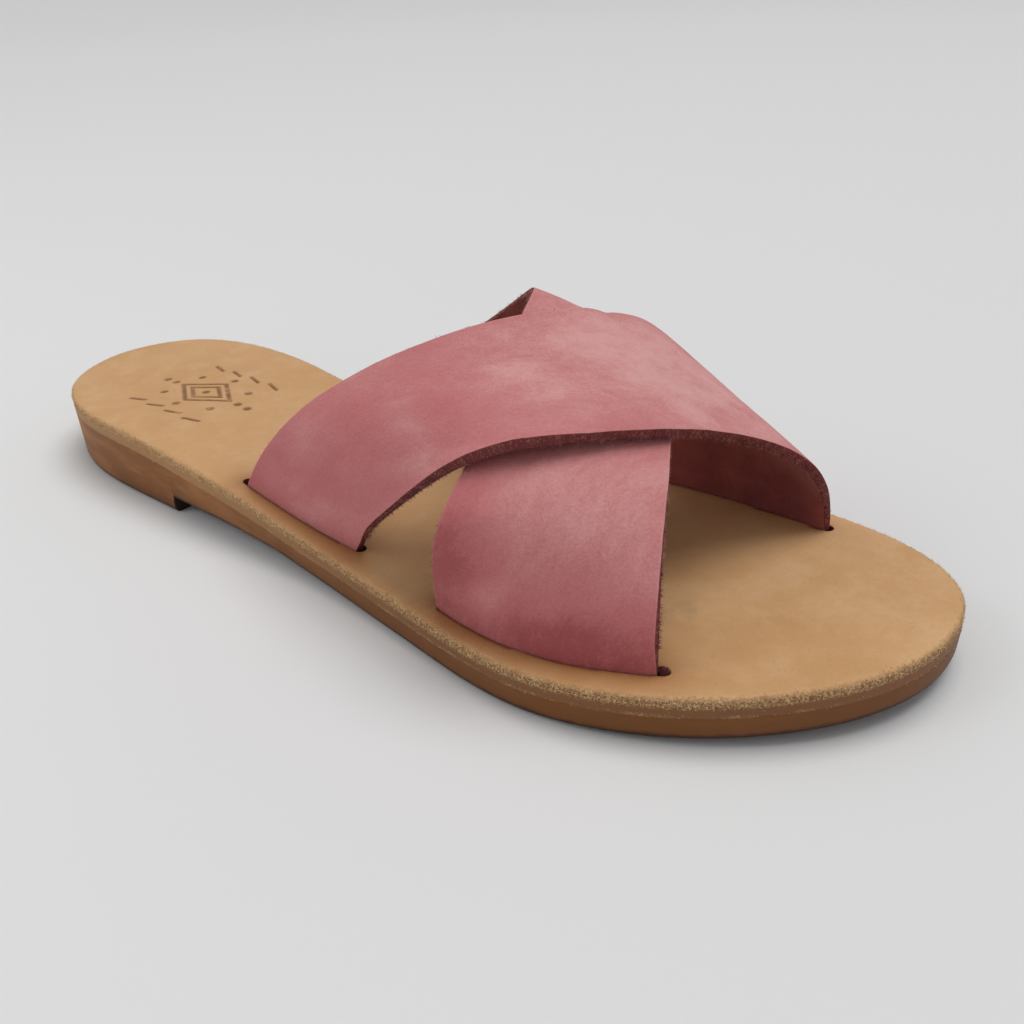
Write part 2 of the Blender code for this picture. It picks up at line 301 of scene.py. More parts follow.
@dataclass
class SolePattern:
    """The maker's pattern of the sole, shared by the foot bed, the sole unit and the straps."""

    insole_thickness: float = 4.0
    outsole_thickness: float = 5.2
    seam: float = 0.3
    heel_breast: float = 74.0
    shank_extra: float = 3.8
    shank_fade: float = 42.0
    breast_draft: float = 0.1
    side_draft: float = 0.02
    heel_tip: tuple[float, float] = (0.0, 3.5)
    toe_tip: tuple[float, float] = (255.3, 8.5)
    outline: tuple[Station, ...] = (
        Station(2, 13.5, 6.5),
        Station(10, 24.5, 19.0),
        Station(28, 31.0, 29.0),
        Station(60, 29.5, 32.8),
        Station(90, 26.8, 33.6),
        Station(125, 30.3, 35.3),
        Station(165, 40.3, 40.6),
        Station(195, 43.7, 43.7),
        Station(218, 42.2, 37.8),
        Station(240, 35.0, 22.8),
        Station(252, 23.7, 6.0),
    )
    levels: tuple[BedLevel, ...] = (
        BedLevel(0, 18.5),
        BedLevel(50, 18.5),
        BedLevel(90, 15.6),
        BedLevel(130, 10.9),
        BedLevel(158, 9.5),
        BedLevel(190, 9.5),
        BedLevel(220, 10.5),
        BedLevel(256, 12.5),
    )
    bed: Callable[[np.ndarray], np.ndarray] = field(init=False)
    inner_side: np.ndarray = field(init=False)
    outer_side: np.ndarray = field(init=False)
    middle: np.ndarray = field(init=False)

    def __post_init__(self) -> None:
        """Works out the smooth outline and the foot bed's height."""
        self.bed = monotone_curve([(row.x, row.height) for row in self.levels])
        inner = [(row.x, row.inner) for row in self.outline]
        outer = [(row.x, -row.outer) for row in self.outline]
        loop = smooth_curve([self.heel_tip, *inner, self.toe_tip, *outer[::-1]], 40)
        loop = np.roll(loop, -int(np.argmin(loop[:, 0])), axis=0)
        toe = int(np.argmax(loop[:, 0]))
        self.inner_side = loop[: toe + 1]
        self.outer_side = np.vstack([loop[toe:], loop[:1]])[::-1]
        self.middle = (loop.min(axis=0) + loop.max(axis=0)) / 2

    @property
    def stack(self) -> float:
        """Height of the foot bed where the sole lies flat on the floor."""
        return self.insole_thickness + self.seam + self.outsole_thickness

    def to_frame(self, points: np.ndarray) -> np.ndarray:
        """Pattern millimetres to the frame's metres."""
        return (np.asarray(points) - np.array([*self.middle, 0.0])) * MM

    def place(self, bm: bmesh.types.BMesh) -> None:
        """Moves a mesh from pattern millimetres to the frame's metres."""
        for vert in bm.verts:
            vert.co = Vector(self.to_frame(np.array(vert.co)))

    def stations(self, spacing: float) -> np.ndarray:
        """Stations evenly spaced along the edge, with a pair at the heel breast.

        Args:
            spacing: Distance between stations along the inner edge, in millimetres.

        Returns:
            The stations' distances from the heel, in order.
        """
        side = self.inner_side
        run = np.append(0, np.cumsum(np.linalg.norm(np.diff(side, axis=0), axis=1)))
        even = np.interp(np.linspace(0, run[-1], round(run[-1] / spacing) + 1), run, side[:, 0])
        fixed = [self.heel_breast - self.breast_draft, self.heel_breast + self.breast_draft]
        fixed += [row.x for row in self.levels if row.height == self.stack]
        kept = [x for x in even if min(abs(x - f) for f in fixed) > spacing / 2]
        return np.array(sorted(kept + fixed))

    def loop(self, spacing: float) -> np.ndarray:
        """Closed plan loop: out along the inner side, back along the outer side.

        Args:
            spacing: Distance between stations along the inner edge, in millimetres.

        Returns:
            The loop's plan points, a row each.
        """
        xs = self.stations(spacing)
        inner = np.column_stack([xs, np.interp(xs, *self.inner_side.T)])
        outer = np.column_stack([xs, np.interp(xs, *self.outer_side.T)])
        return np.vstack([inner, outer[-2:0:-1]])

    def underside(self, x: np.ndarray) -> np.ndarray:
        """Height of the tread: flat under the heel, arched in the shank, flat at the ball.

        Args:
            x: Distances from the back of the heel, in millimetres.

        Returns:
            The height at each of them, in millimetres.
        """
        extra = self.shank_extra * np.clip(1 - (x - self.heel_breast) / self.shank_fade, 0.0, 1.0)
        arch = np.maximum(self.bed(x) - self.stack - extra, 0.0)
        return np.where(x < self.heel_breast, 0.0, arch)


def inset_loop(loop: np.ndarray, inset: float | np.ndarray) -> np.ndarray:
    """The loop moved inwards.

    Args:
        loop: Plan points in order.
        inset: One distance, or one for each point, in millimetres.

    Returns:
        The moved points.
    """
    along = np.roll(loop, -1, axis=0) - np.roll(loop, 1, axis=0)
    along /= np.linalg.norm(along, axis=1)[:, None]
    inward = np.column_stack([along[:, 1], -along[:, 0]])
    return loop + inward * np.broadcast_to(inset, len(loop))[:, None]


@dataclass
class Slab:
    """Closed body between stacked rings of the sole's outline, with a gridded face at each end."""

    rings: list[np.ndarray]
    across: int

    def __post_init__(self) -> None:
        """Counts the stations of a ring, which runs out on one side and back on the other."""
        self.count = len(self.rings[0]) // 2 + 1

    def sides(self, ring: np.ndarray, station: int) -> tuple[np.ndarray, np.ndarray]:
        """The outer and the inner point of a ring at one station.

        Args:
            ring: The ring's points.
            station: Number of the station, counted from the heel.

        Returns:
            The two points, which are one and the same at the tips.
        """
        if station in (0, self.count - 1):
            return ring[station], ring[station]
        return ring[len(ring) - station], ring[station]

    def spread(self, ring: np.ndarray, station: int, row: int) -> np.ndarray:
        """Point between the two sides of a ring.

        Args:
            ring: The ring's points.
            station: Number of the station, counted from the heel.
            row: Steps from the outer side, out of the slab's number across.

        Returns:
            The point.
        """
        outer, inner = self.sides(ring, station)
        share = row / self.across
        return outer * (1 - share) + inner * share

    def build(self) -> bmesh.types.BMesh:
        """Makes the body.

        Returns:
            The closed mesh, in pattern millimetres.
        """
        bm = bmesh.new()
        column = bm.verts.layers.int.new("column")
        row = bm.verts.layers.int.new("row")
        place = bm.verts.layers.int.new("place")
        bmesh.ops.create_grid(bm, x_segments=self.count - 1, y_segments=self.across, size=1.0)
        size = len(self.rings[0])
        for vert in bm.verts:
            i = round((vert.co.x + 1) / 2 * (self.count - 1))
            j = round((vert.co.y + 1) / 2 * self.across)
            vert[column], vert[row] = i, j
            if i in (0, self.count - 1) or j == self.across:
                vert[place] = i + 1
            elif j == 0:
                vert[place] = size - i + 1
            vert.co = Vector(self.spread(self.rings[0], i, j))
        bmesh.ops.remove_doubles(bm, verts=bm.verts, dist=1e-6)
        cap = list(bm.faces)
        edges = [edge for edge in bm.edges if edge.is_boundary]
        for ring in self.rings[1:]:
            made = bmesh.ops.extrude_edge_only(bm, edges=edges)["geom"]
            for vert in (item for item in made if isinstance(item, bmesh.types.BMVert)):
                vert.co = Vector(ring[vert[place] - 1])
            edges = [item for item in made if isinstance(item, bmesh.types.BMEdge) and item.is_boundary]
        twin = bmesh.ops.duplicate(bm, geom=cap)["geom"]
        for vert in (item for item in twin if isinstance(item, bmesh.types.BMVert)):
            vert.co = Vector(self.spread(self.rings[-1], vert[column], vert[row]))
        bmesh.ops.remove_doubles(bm, verts=bm.verts, dist=1e-6)
        bmesh.ops.recalc_face_normals(bm, faces=bm.faces)
        return bm


def new_object(name: str, bm: bmesh.types.BMesh, smooth_angle: float) -> bpy.types.Object:
    """Turns a bmesh into a smooth shaded object and frees it.

    Args:
        name: The piece's name.
        bm: The mesh, in metres.
        smooth_angle: Angle in degrees above which an edge stays sharp.

    Returns:
        The object, linked to the scene.
    """
    mesh = bpy.data.meshes.new(name)
    bm.to_mesh(mesh)
    bm.free()
    mesh.shade_smooth()
    mesh.set_sharp_from_angle(angle=math.radians(smooth_angle))
    thing = bpy.data.objects.new(name, mesh)
    bpy.context.scene.collection.objects.link(thing)
    return thing


def settle(thing: bpy.types.Object) -> None:
    """Applies an object's modifiers to its mesh.

    Args:
        thing: The object, whose modifiers are removed afterwards.
    """
    graph = bpy.context.evaluated_depsgraph_get()
    mesh = bpy.data.meshes.new_from_object(thing.evaluated_get(graph))
    thing.modifiers.clear()
    thing.data = mesh


def write_values(thing: bpy.types.Object, name: str, values: np.ndarray) -> None:
    """Stores one number or one vector for each vertex of an object.

    Args:
        thing: The object.
        name: Name of the new attribute.
        values: A number, or a row of three, for each vertex.
    """
    kind = "FLOAT" if values.ndim == 1 else "FLOAT_VECTOR"
    attribute = thing.data.attributes.new(name, kind, "POINT")
    key = "value" if values.ndim == 1 else "vector"
    attribute.data.foreach_set(key, values.astype(np.float32).ravel())


def vertices_of(thing: bpy.types.Object) -> np.ndarray:
    """All vertices of an object, a row each.

    Args:
        thing: The object.

    Returns:
        The vertices' places, in metres.
    """
    flat = np.zeros(len(thing.data.vertices) * 3, np.float32)
    thing.data.vertices.foreach_get("co", flat)
    return flat.reshape(-1, 3).astype(float)


class Bench:
    """Adds and links the shader nodes of one material."""

    def __init__(self, name: str) -> None:
        """Starts a material with a Principled shader.

        Args:
            name: The material's name.
        """
        self.material = bpy.data.materials.new(name)
        self.material.use_nodes = True
        self.nodes = self.material.node_tree.nodes
        self.links = self.material.node_tree.links
        self.shader = self.nodes["Principled BSDF"]
        self.object_place = self.nodes.new("ShaderNodeTexCoord").outputs["Object"]

    def plug(self, value: object, socket: Socket) -> None:
        """Links a socket to another, or sets its value.

        Args:
            value: A socket, number or colour.
            socket: The input that takes it.
        """
        if isinstance(value, Socket):
            self.links.new(value, socket)
        elif isinstance(value, tuple) and len(value) == 3 and socket.type == "RGBA":
            socket.default_value = (*value, 1.0)
        else:
            socket.default_value = value

    def attribute(self, name: str, vector: bool = False) -> Socket:
        """A value stored on the mesh.

        Args:
            name: The attribute's name.
            vector: Whether it holds three numbers.

        Returns:
            The value.
        """
        node = self.nodes.new("ShaderNodeAttribute")
        node.attribute_name = name
        return node.outputs["Vector" if vector else "Fac"]

    def stretch(self, vector: Socket, scale: tuple[float, float, float]) -> Socket:
        """Coordinates scaled by a Mapping node.

        Args:
            vector: The coordinates.
            scale: Factor for each axis.

        Returns:
            The scaled coordinates.
        """
        node = self.nodes.new("ShaderNodeMapping")
        self.plug(vector, node.inputs["Vector"])
        node.inputs["Scale"].default_value = scale
        return node.outputs["Vector"]

    def noise(self, grain: Grain, vector: Socket | None = None) -> Socket:
        """Noise of a given grain.

        Args:
            grain: The noise's size, detail and roughness.
            vector: Coordinates in metres, the object's own where none are given.

        Returns:
            The noise's value, about 0.5 on average.
        """
        node = self.nodes.new("ShaderNodeTexNoise")
        self.plug(vector or self.object_place, node.inputs["Vector"])
        node.inputs["Scale"].default_value = 1 / (grain.size * MM)
        node.inputs["Detail"].default_value = grain.detail
        node.inputs["Roughness"].default_value = grain.roughness
        return node.outputs["Fac"]

    def warp(self, vector: Socket, size: float, reach: float) -> Socket:
        """Coordinates swirled by noise of a given size, by up to a reach in millimetres.

        Args:
            vector: The coordinates, in metres.
            size: Width of the swirls, in millimetres.
            reach: Longest shift, in millimetres.

        Returns:
            The swirled coordinates.
        """
        node = self.nodes.new("ShaderNodeTexNoise")
        self.plug(vector, node.inputs["Vector"])
        node.inputs["Scale"].default_value = 1 / (size * MM)
        node.inputs["Detail"].default_value = 2.0
        moved = self.nodes.new("ShaderNodeVectorMath")
        moved.operation = "MULTIPLY_ADD"
        self.plug(node.outputs["Color"], moved.inputs[0])
        moved.inputs[1].default_value = (reach * MM,) * 3
        self.plug(vector, moved.inputs[2])
        return moved.outputs["Vector"]

    def cells(self, size: float, vector: Socket | None = None) -> Socket:
        """Distance to the nearest of many scattered points.

        Args:
            size: Usual distance between the points, in millimetres.
            vector: Coordinates in metres, the object's own where none are given.

        Returns:
            The distance, in shares of the size.
        """
        node = self.nodes.new("ShaderNodeTexVoronoi")
        self.plug(vector or self.object_place, node.inputs["Vector"])
        node.inputs["Scale"].default_value = 1 / (size * MM)
        return node.outputs["Distance"]

    def span(
        self, value: Socket, low: float, high: float, to_low: float = 0.0, to_high: float = 1.0
    ) -> Socket:
        """Maps low to high onto another range, smoothly and with limits.

        Args:
            value: The value.
            low: Value that gives to_low. It may lie above high.
            high: Value that gives to_high.
            to_low: Result at and beyond low.
            to_high: Result at and beyond high.

        Returns:
            The mapped value.
        """
        node = self.nodes.new("ShaderNodeMapRange")
        node.interpolation_type = "SMOOTHSTEP"
        self.plug(value, node.inputs["Value"])
        for key, number in (("From Min", low), ("From Max", high), ("To Min", to_low), ("To Max", to_high)):
            node.inputs[key].default_value = number
        return node.outputs["Result"]

    def sum(self, *terms: tuple[object, float]) -> Socket:
        """Weighted sum of values.

        Args:
            terms: Pairs of a value and its weight.

        Returns:
            The sum.
        """
        total: object = 0.0
        for value, weight in terms:
            node = self.nodes.new("ShaderNodeMath")
            node.operation = "MULTIPLY_ADD"
            self.plug(value, node.inputs[0])
            self.plug(weight, node.inputs[1])
            self.plug(total, node.inputs[2])
            total = node.outputs[0]
        return total

    def times(self, first: object, second: object) -> Socket:
        """Product of two values.

        Args:
            first: A socket or a number.
            second: A socket or a number.

        Returns:
            The product.
        """
        node = self.nodes.new("ShaderNodeMath")
        node.operation = "MULTIPLY"
        self.plug(first, node.inputs[0])
        self.plug(second, node.inputs[1])
        return node.outputs[0]

    def mix(self, share: object, first: object, second: object) -> Socket:
        """Colour between two colours.

        Args:
            share: Share of the second colour.
            first: One colour.
            second: The other colour.

        Returns:
            The mixed colour.
        """
        node = self.nodes.new("ShaderNodeMix")
        node.data_type = "RGBA"
        self.plug(share, node.inputs[0])
        self.plug(first, node.inputs[6])
        self.plug(second, node.inputs[7])
        return node.outputs[2]

    def ripple(self, value: Socket, pitch: float) -> Socket:
        """Even ribs, from -1 to 1, along a coordinate in metres, with a pitch in millimetres.

        Args:
            value: The coordinate, in metres.
            pitch: Distance between ribs, in millimetres.

        Returns:
            The ribs' height.
        """
        node = self.nodes.new("ShaderNodeMath")
        node.operation = "SINE"
        self.plug(self.times(value, 2 * math.pi / (pitch * MM)), node.inputs[0])
        return node.outputs[0]

    def part(self, vector: Socket, axis: str) -> Socket:
        """One coordinate of a vector.

        Args:
            vector: The vector.
            axis: X, Y or Z.

        Returns:
            The coordinate.
        """
        node = self.nodes.new("ShaderNodeSeparateXYZ")
        self.plug(vector, node.inputs[0])
        return node.outputs[axis]

    def bump(self, height: Socket, depth: float, strength: float = 1.0) -> None:
        """Puts a relief of a given depth in millimetres on the shader.

        Args:
            height: The relief, as a share of its depth.
            depth: Its depth, in millimetres.
            strength: How strongly it bends the light, up to 1.
        """
        node = self.nodes.new("ShaderNodeBump")
        self.plug(height, node.inputs["Height"])
        node.inputs["Distance"].default_value = depth * MM
        node.inputs["Strength"].default_value = strength
        self.plug(node.outputs["Normal"], self.shader.inputs["Normal"])

    def finish(self, **sockets: object) -> bpy.types.Material:
        """Sets the shader's sockets, named with underscores for spaces, and gives the material.

        Args:
            sockets: Values by the names of the shader's inputs.

        Returns:
            The material.
        """
        for name, value in sockets.items():
            self.plug(value, self.shader.inputs[name.replace("_", " ")])
        return self.material


@dataclass(frozen=True)
class Nubuck:
    """Buffed grain side of the straps: soft, powdery and unevenly dyed."""

    rose: Colour = (0.525, 0.168, 0.172)
    pale: Colour = (0.690, 0.360, 0.345)
    deep: Colour = (0.370, 0.090, 0.094)
    bloom: Colour = (1.0, 0.66, 0.64)
    cloud: Grain = Grain(26.0, 5.0, 0.6)
    mottle: Grain = Grain(7.0, 6.0, 0.7)
    patches: Grain = Grain(9.0, 6.0, 0.75)
    hair: Grain = Grain(0.9, 4.0, 0.7)
    nap: Grain = Grain(0.5, 3.0, 0.7)
    wrinkles: Grain = Grain(1.3, 4.0, 0.7)
    swell: Grain = Grain(4.0)
    swirl_size: float = 14.0
    swirl_reach: float = 10.0
    pore_spacing: float = 0.9
    rib_pitch: float = 0.9
    relief_depth: float = 0.3

    def material(self, name: str) -> bpy.types.Material:
        """Makes the material.

        Args:
            name: The material's name.

        Returns:
            The material.
        """
        bench = Bench(name)
        lay = bench.attribute("lay", vector=True)
        brushed = bench.warp(bench.stretch(lay, (0.75, 1.0, 1.0)), self.swirl_size, self.swirl_reach)
        hair = bench.noise(self.hair, bench.stretch(brushed, (0.55, 1.0, 1.0)))
        nap = bench.noise(self.nap)
        patchy = bench.span(bench.noise(self.patches, brushed), 0.32, 0.68, 0.6, 1.3)
        # The clouds' tone holds real smudges in the nubuck and also painted light: paler where light falls,
        # deeper where shade falls.
        tone = bench.sum(
            (bench.times(bench.attribute("tone"), patchy), 0.62),
            (bench.noise(self.cloud, brushed), 0.75),
            (bench.noise(self.mottle, brushed), 0.36),
            (hair, 0.18),
            (nap, 0.52),
            (bench.attribute("rim"), 0.15),
            (1.0, 0.05),
        )
        colour = bench.mix(bench.span(tone, 0.86, 1.62), self.rose, self.pale)
        colour = bench.mix(bench.span(tone, 0.98, 0.42), colour, self.deep)
        worn = bench.attribute("wrinkled")
        pores = bench.span(bench.cells(self.pore_spacing, lay), 0.02, 0.28)
        wrinkles = bench.noise(self.wrinkles)
        ribs = bench.times(bench.attribute("ribbed"), bench.ripple(bench.part(lay, "X"), self.rib_pitch))
        relief = bench.sum(
            (nap, 0.75),
            (hair, 0.45),
            (bench.times(worn, pores), 0.30),
            (bench.times(worn, wrinkles), 1.1),
            (wrinkles, 0.30),
            (ribs, 0.22),
            (bench.noise(self.swell), 0.6),
        )
        bench.bump(relief, self.relief_depth, 0.75)
        return bench.finish(
            Base_Color=colour,
            Roughness=0.93,
            Specular_IOR_Level=0.16,
            Sheen_Weight=0.14,
            Sheen_Roughness=0.45,
            Sheen_Tint=self.bloom,
        )


@dataclass(frozen=True)
class FleshSide:
    """Rough inner side of the straps."""

    maroon: Colour = (0.215, 0.042, 0.043)
    ember: Colour = (0.370, 0.092, 0.068)
    lumps: Grain = Grain(14.0, 4.0, 0.6)
    hair: Grain = Grain(0.6, 4.0, 0.75)
    swell: Grain = Grain(3.0, 4.0, 0.6)
    relief_depth: float = 0.4

    def material(self, name: str) -> bpy.types.Material:
        """Makes the material.

        Args:
            name: The material's name.

        Returns:
            The material.
        """
        bench = Bench(name)
        hair = bench.noise(self.hair)
        colour = bench.mix(bench.span(bench.noise(self.lumps), 0.32, 0.76), self.maroon, self.ember)
        colour = bench.mix(bench.span(hair, 0.52, 0.8, 0.0, 0.5), colour, self.ember)
        bench.bump(bench.sum((hair, 1.0), (bench.noise(self.swell), 0.8)), self.relief_depth, 0.8)
        return bench.finish(
            Base_Color=colour,
            Roughness=0.95,
            Specular_IOR_Level=0.15,
            Sheen_Weight=0.2,
            Sheen_Roughness=0.5,
        )


@dataclass(frozen=True)
class CutEdge:
    """Raw cut edge of the straps, dyed through and a little fibrous."""

    dark: Colour = (0.165, 0.036, 0.035)
    worn: Colour = (0.430, 0.150, 0.135)
    fibre: Grain = Grain(0.7, 5.0, 0.75)
    speck: Grain = Grain(0.35, 3.0, 0.7)
    relief_depth: float = 0.35

    def material(self, name: str) -> bpy.types.Material:
        """Makes the material.

        Args:
            name: The material's name.

        Returns:
            The material.
        """
        bench = Bench(name)
        lay = bench.attribute("lay", vector=True)
        fibre = bench.noise(self.fibre, bench.stretch(lay, (0.4, 1.0, 1.0)))
        speck = bench.noise(self.speck)
        rubbed = bench.span(bench.sum((fibre, 0.6), (speck, 0.5)), 0.52, 0.78)
        colour = bench.mix(rubbed, self.dark, self.worn)
        bench.bump(bench.sum((speck, 1.0), (fibre, 0.8)), self.relief_depth, 0.9)
        return bench.finish(Base_Color=colour, Roughness=0.88, Specular_IOR_Level=0.25)


@dataclass(frozen=True)
class StrayFibre:
    """Loose fibres along a raw edge."""

    near: Colour
    far: Colour
    lumps: Grain = Grain(2.0, 3.0, 0.6)

    def material(self, name: str) -> bpy.types.Material:
        """Makes the material.

        Args:
            name: The material's name.

        Returns:
            The material.
        """
        bench = Bench(name)
        colour = bench.mix(bench.span(bench.noise(self.lumps), 0.35, 0.65), self.near, self.far)
        return bench.finish(Base_Color=colour, Roughness=0.8, Specular_IOR_Level=0.3)


@dataclass(frozen=True)
class Fuzz:
    """Loose fibres of one kind: how many, their lengths and root radius in millimetres, and finish."""

    count: int
    lengths: tuple[float, float]
    radius: float
    finish: StrayFibre


@dataclass(frozen=True)
class TannedLeather:
    """Foot bed of vegetable tanned leather, with a burnished top and a rough cut edge."""

    tan: Colour = (0.650, 0.388, 0.188)
    honey: Colour = (0.548, 0.298, 0.124)
    chalk: Colour = (0.660, 0.420, 0.228)
    # Warm brown painted as shade round the slots' mouths.
    painted_slot_shade: Colour = (0.300, 0.120, 0.036)
    pressed: Colour = (0.200, 0.085, 0.030)
    moss: Colour = (0.300, 0.215, 0.110)
    fibre: Colour = (0.820, 0.530, 0.265)
    core: Colour = (0.215, 0.086, 0.027)
    heel_core: Colour = (0.380, 0.190, 0.070)
    # Nearly black: painted shadow on the slots' walls.
    slot_wall_shadow: Colour = (0.045, 0.014, 0.011)
    cloud: Grain = Grain(34.0, 4.0, 0.55)
    patch: Grain = Grain(8.0, 5.0, 0.65)
    mottle: Grain = Grain(1.2, 4.0, 0.7)
    wear: Grain = Grain(2.5, 4.0, 0.7)
    ragged: Grain = Grain(0.65, 4.0, 0.7)
    tufts: Grain = Grain(12.0, 3.0, 0.6)
    specks: Grain = Grain(0.42, 4.0, 0.8)
    pores: Grain = Grain(0.6, 4.0, 0.65)
    swell: Grain = Grain(5.0)
    polish: Grain = Grain(6.0, 3.0, 0.6)
    pore_spacing: float = 1.0
    relief_depth: float = 0.32

    def top(self, bench: Bench) -> Socket:
        """Colour of the burnished grain, with painted shade beside the slots.

        Args:
            bench: The material's bench.

        Returns:
            The colour.
        """
        worn = bench.span(bench.noise(self.wear), 0.25, 0.55, 0.35, 0.95)
        layers = (
            (bench.attribute("aft"), 0.65, self.honey),
            (bench.span(bench.noise(self.patch), 0.42, 0.72), 0.45, self.chalk),
            (bench.span(bench.noise(self.mottle), 0.35, 0.7), 0.22, self.honey),
            (bench.attribute("stain"), 0.55, self.moss),
            # Painted shade: the grain turns warm brown beside the slots, where the straps shade it.
            (bench.attribute("slot_shade"), 0.90, self.painted_slot_shade),
            (bench.attribute("pressed"), worn, self.pressed),
        )
        colour = bench.mix(bench.span(bench.noise(self.cloud), 0.38, 0.66), self.tan, self.honey)
        for share, strength, layer in layers:
            colour = bench.mix(bench.times(share, strength), colour, layer)
        return colour

    def material(self, name: str) -> bpy.types.Material:
        """Makes the material.

        Args:
            name: The material's name.

        Returns:
            The material.
        """
        bench = Bench(name)
        depth = bench.sum((bench.attribute("depth"), 1.0), (bench.noise(self.ragged), 1.5))
        upper_nap = bench.times(bench.span(depth, 0.75, 1.35), bench.span(depth, 3.4, 2.5))
        tufts = bench.span(bench.noise(self.tufts), 0.48, 0.60)
        nap = bench.sum((upper_nap, 1.0), (bench.times(bench.span(depth, 4.2, 4.5), tufts), 0.45))
        specks = bench.times(bench.span(bench.noise(self.specks), 0.41, 0.62), nap)
        # The cut side is lighter at the heel and darker forward: painted shade towards the toe.
        core = bench.mix(bench.attribute("aft"), self.core, self.heel_core)
        side = bench.mix(bench.span(depth, 0.9, 1.9), self.top(bench), core)
        relief = bench.sum(
            (specks, 1.0),
            (bench.noise(self.pores), 0.14),
            (bench.cells(self.pore_spacing), 0.06),
            (bench.noise(self.swell), 0.4),
        )
        bench.bump(relief, self.relief_depth, 0.6)
        polish = bench.span(bench.noise(self.polish), 0.3, 0.7)
        return bench.finish(
            Base_Color=bench.mix(specks, side, self.fibre),
            Roughness=bench.sum((polish, 0.10), (nap, 0.25), (1.0, 0.50)),
            Specular_IOR_Level=0.35,
        )

    def slot_shadow_material(self, name: str) -> bpy.types.Material:
        """Makes the slots' walls nearly black: painted shadow deep in the slots."""
        return Bench(name).finish(Base_Color=self.slot_wall_shadow, Roughness=0.9, Specular_IOR_Level=0.1)


@dataclass(frozen=True)
class MouldedUnit:
    """Satin brown side and tread of the sole, with painted shade towards the toe, towards the floor and at
    the heel breast. Its places are in metres.
    """

    brown: Colour = (0.235, 0.083, 0.018)
    light: Colour = (0.360, 0.145, 0.038)
    # Darker brown for the front: painted shade towards the toe.
    front: Colour = (0.175, 0.062, 0.014)
    # Painted shade: the side darkens towards the floor, and most at the tread's edge as a painted contact
    # shadow.
    foot: Colour = (0.055, 0.020, 0.010)
    # Nearly black: painted shadow in the notch under the heel breast.
    breast: Colour = (0.035, 0.016, 0.010)
    bands: Grain = Grain(5.0, 5.0, 0.6)
    waver: Grain = Grain(3.0, 3.0, 0.6)
    fine: Grain = Grain(0.7, 3.0, 0.6)
    breast_place: float = -0.0536
    relief_depth: float = 0.12

    def material(self, name: str) -> bpy.types.Material:
        """Makes the material.

        Args:
            name: The material's name.

        Returns:
            The material.
        """
        bench = Bench(name)
        along = bench.part(bench.object_place, "X")
        height = bench.part(bench.object_place, "Z")
        rise = bench.sum((bench.attribute("rise"), 1.0), (bench.noise(self.waver), 0.0012))
        step = bench.times(
            bench.span(along, self.breast_place - 0.0006, self.breast_place - 0.0003),
            bench.span(along, self.breast_place + 0.0012, self.breast_place + 0.0006),
        )
        bands = bench.noise(self.bands, bench.stretch(bench.object_place, (0.22, 0.22, 1.0)))
        colour = bench.mix(bench.span(bands, 0.38, 0.68), self.brown, self.light)
        # Painted shade: the lowest few millimetres of the side are darker towards the floor.
        colour = bench.mix(bench.span(rise, 0.0085, 0.0015, 0.0, 0.30), colour, self.foot)
        # Painted shade: the side turns darker towards the toe.
        colour = bench.mix(bench.span(along, -0.04, 0.04, 0.0, 0.8), colour, self.front)
        # Painted contact shadow: a thin dark band along the tread's edge.
        colour = bench.mix(bench.span(rise, 0.0026, 0.0014), colour, self.foot)
        # Painted shadow: the heel breast's face goes nearly black below the shank.
        colour = bench.mix(bench.times(step, bench.span(height, 0.0041, 0.0036)), colour, self.breast)
        bench.bump(bench.sum((bench.noise(self.fine), 0.5), (bands, 1.0)), self.relief_depth, 0.5)
        return bench.finish(Base_Color=colour, Roughness=0.55, Specular_IOR_Level=0.25)


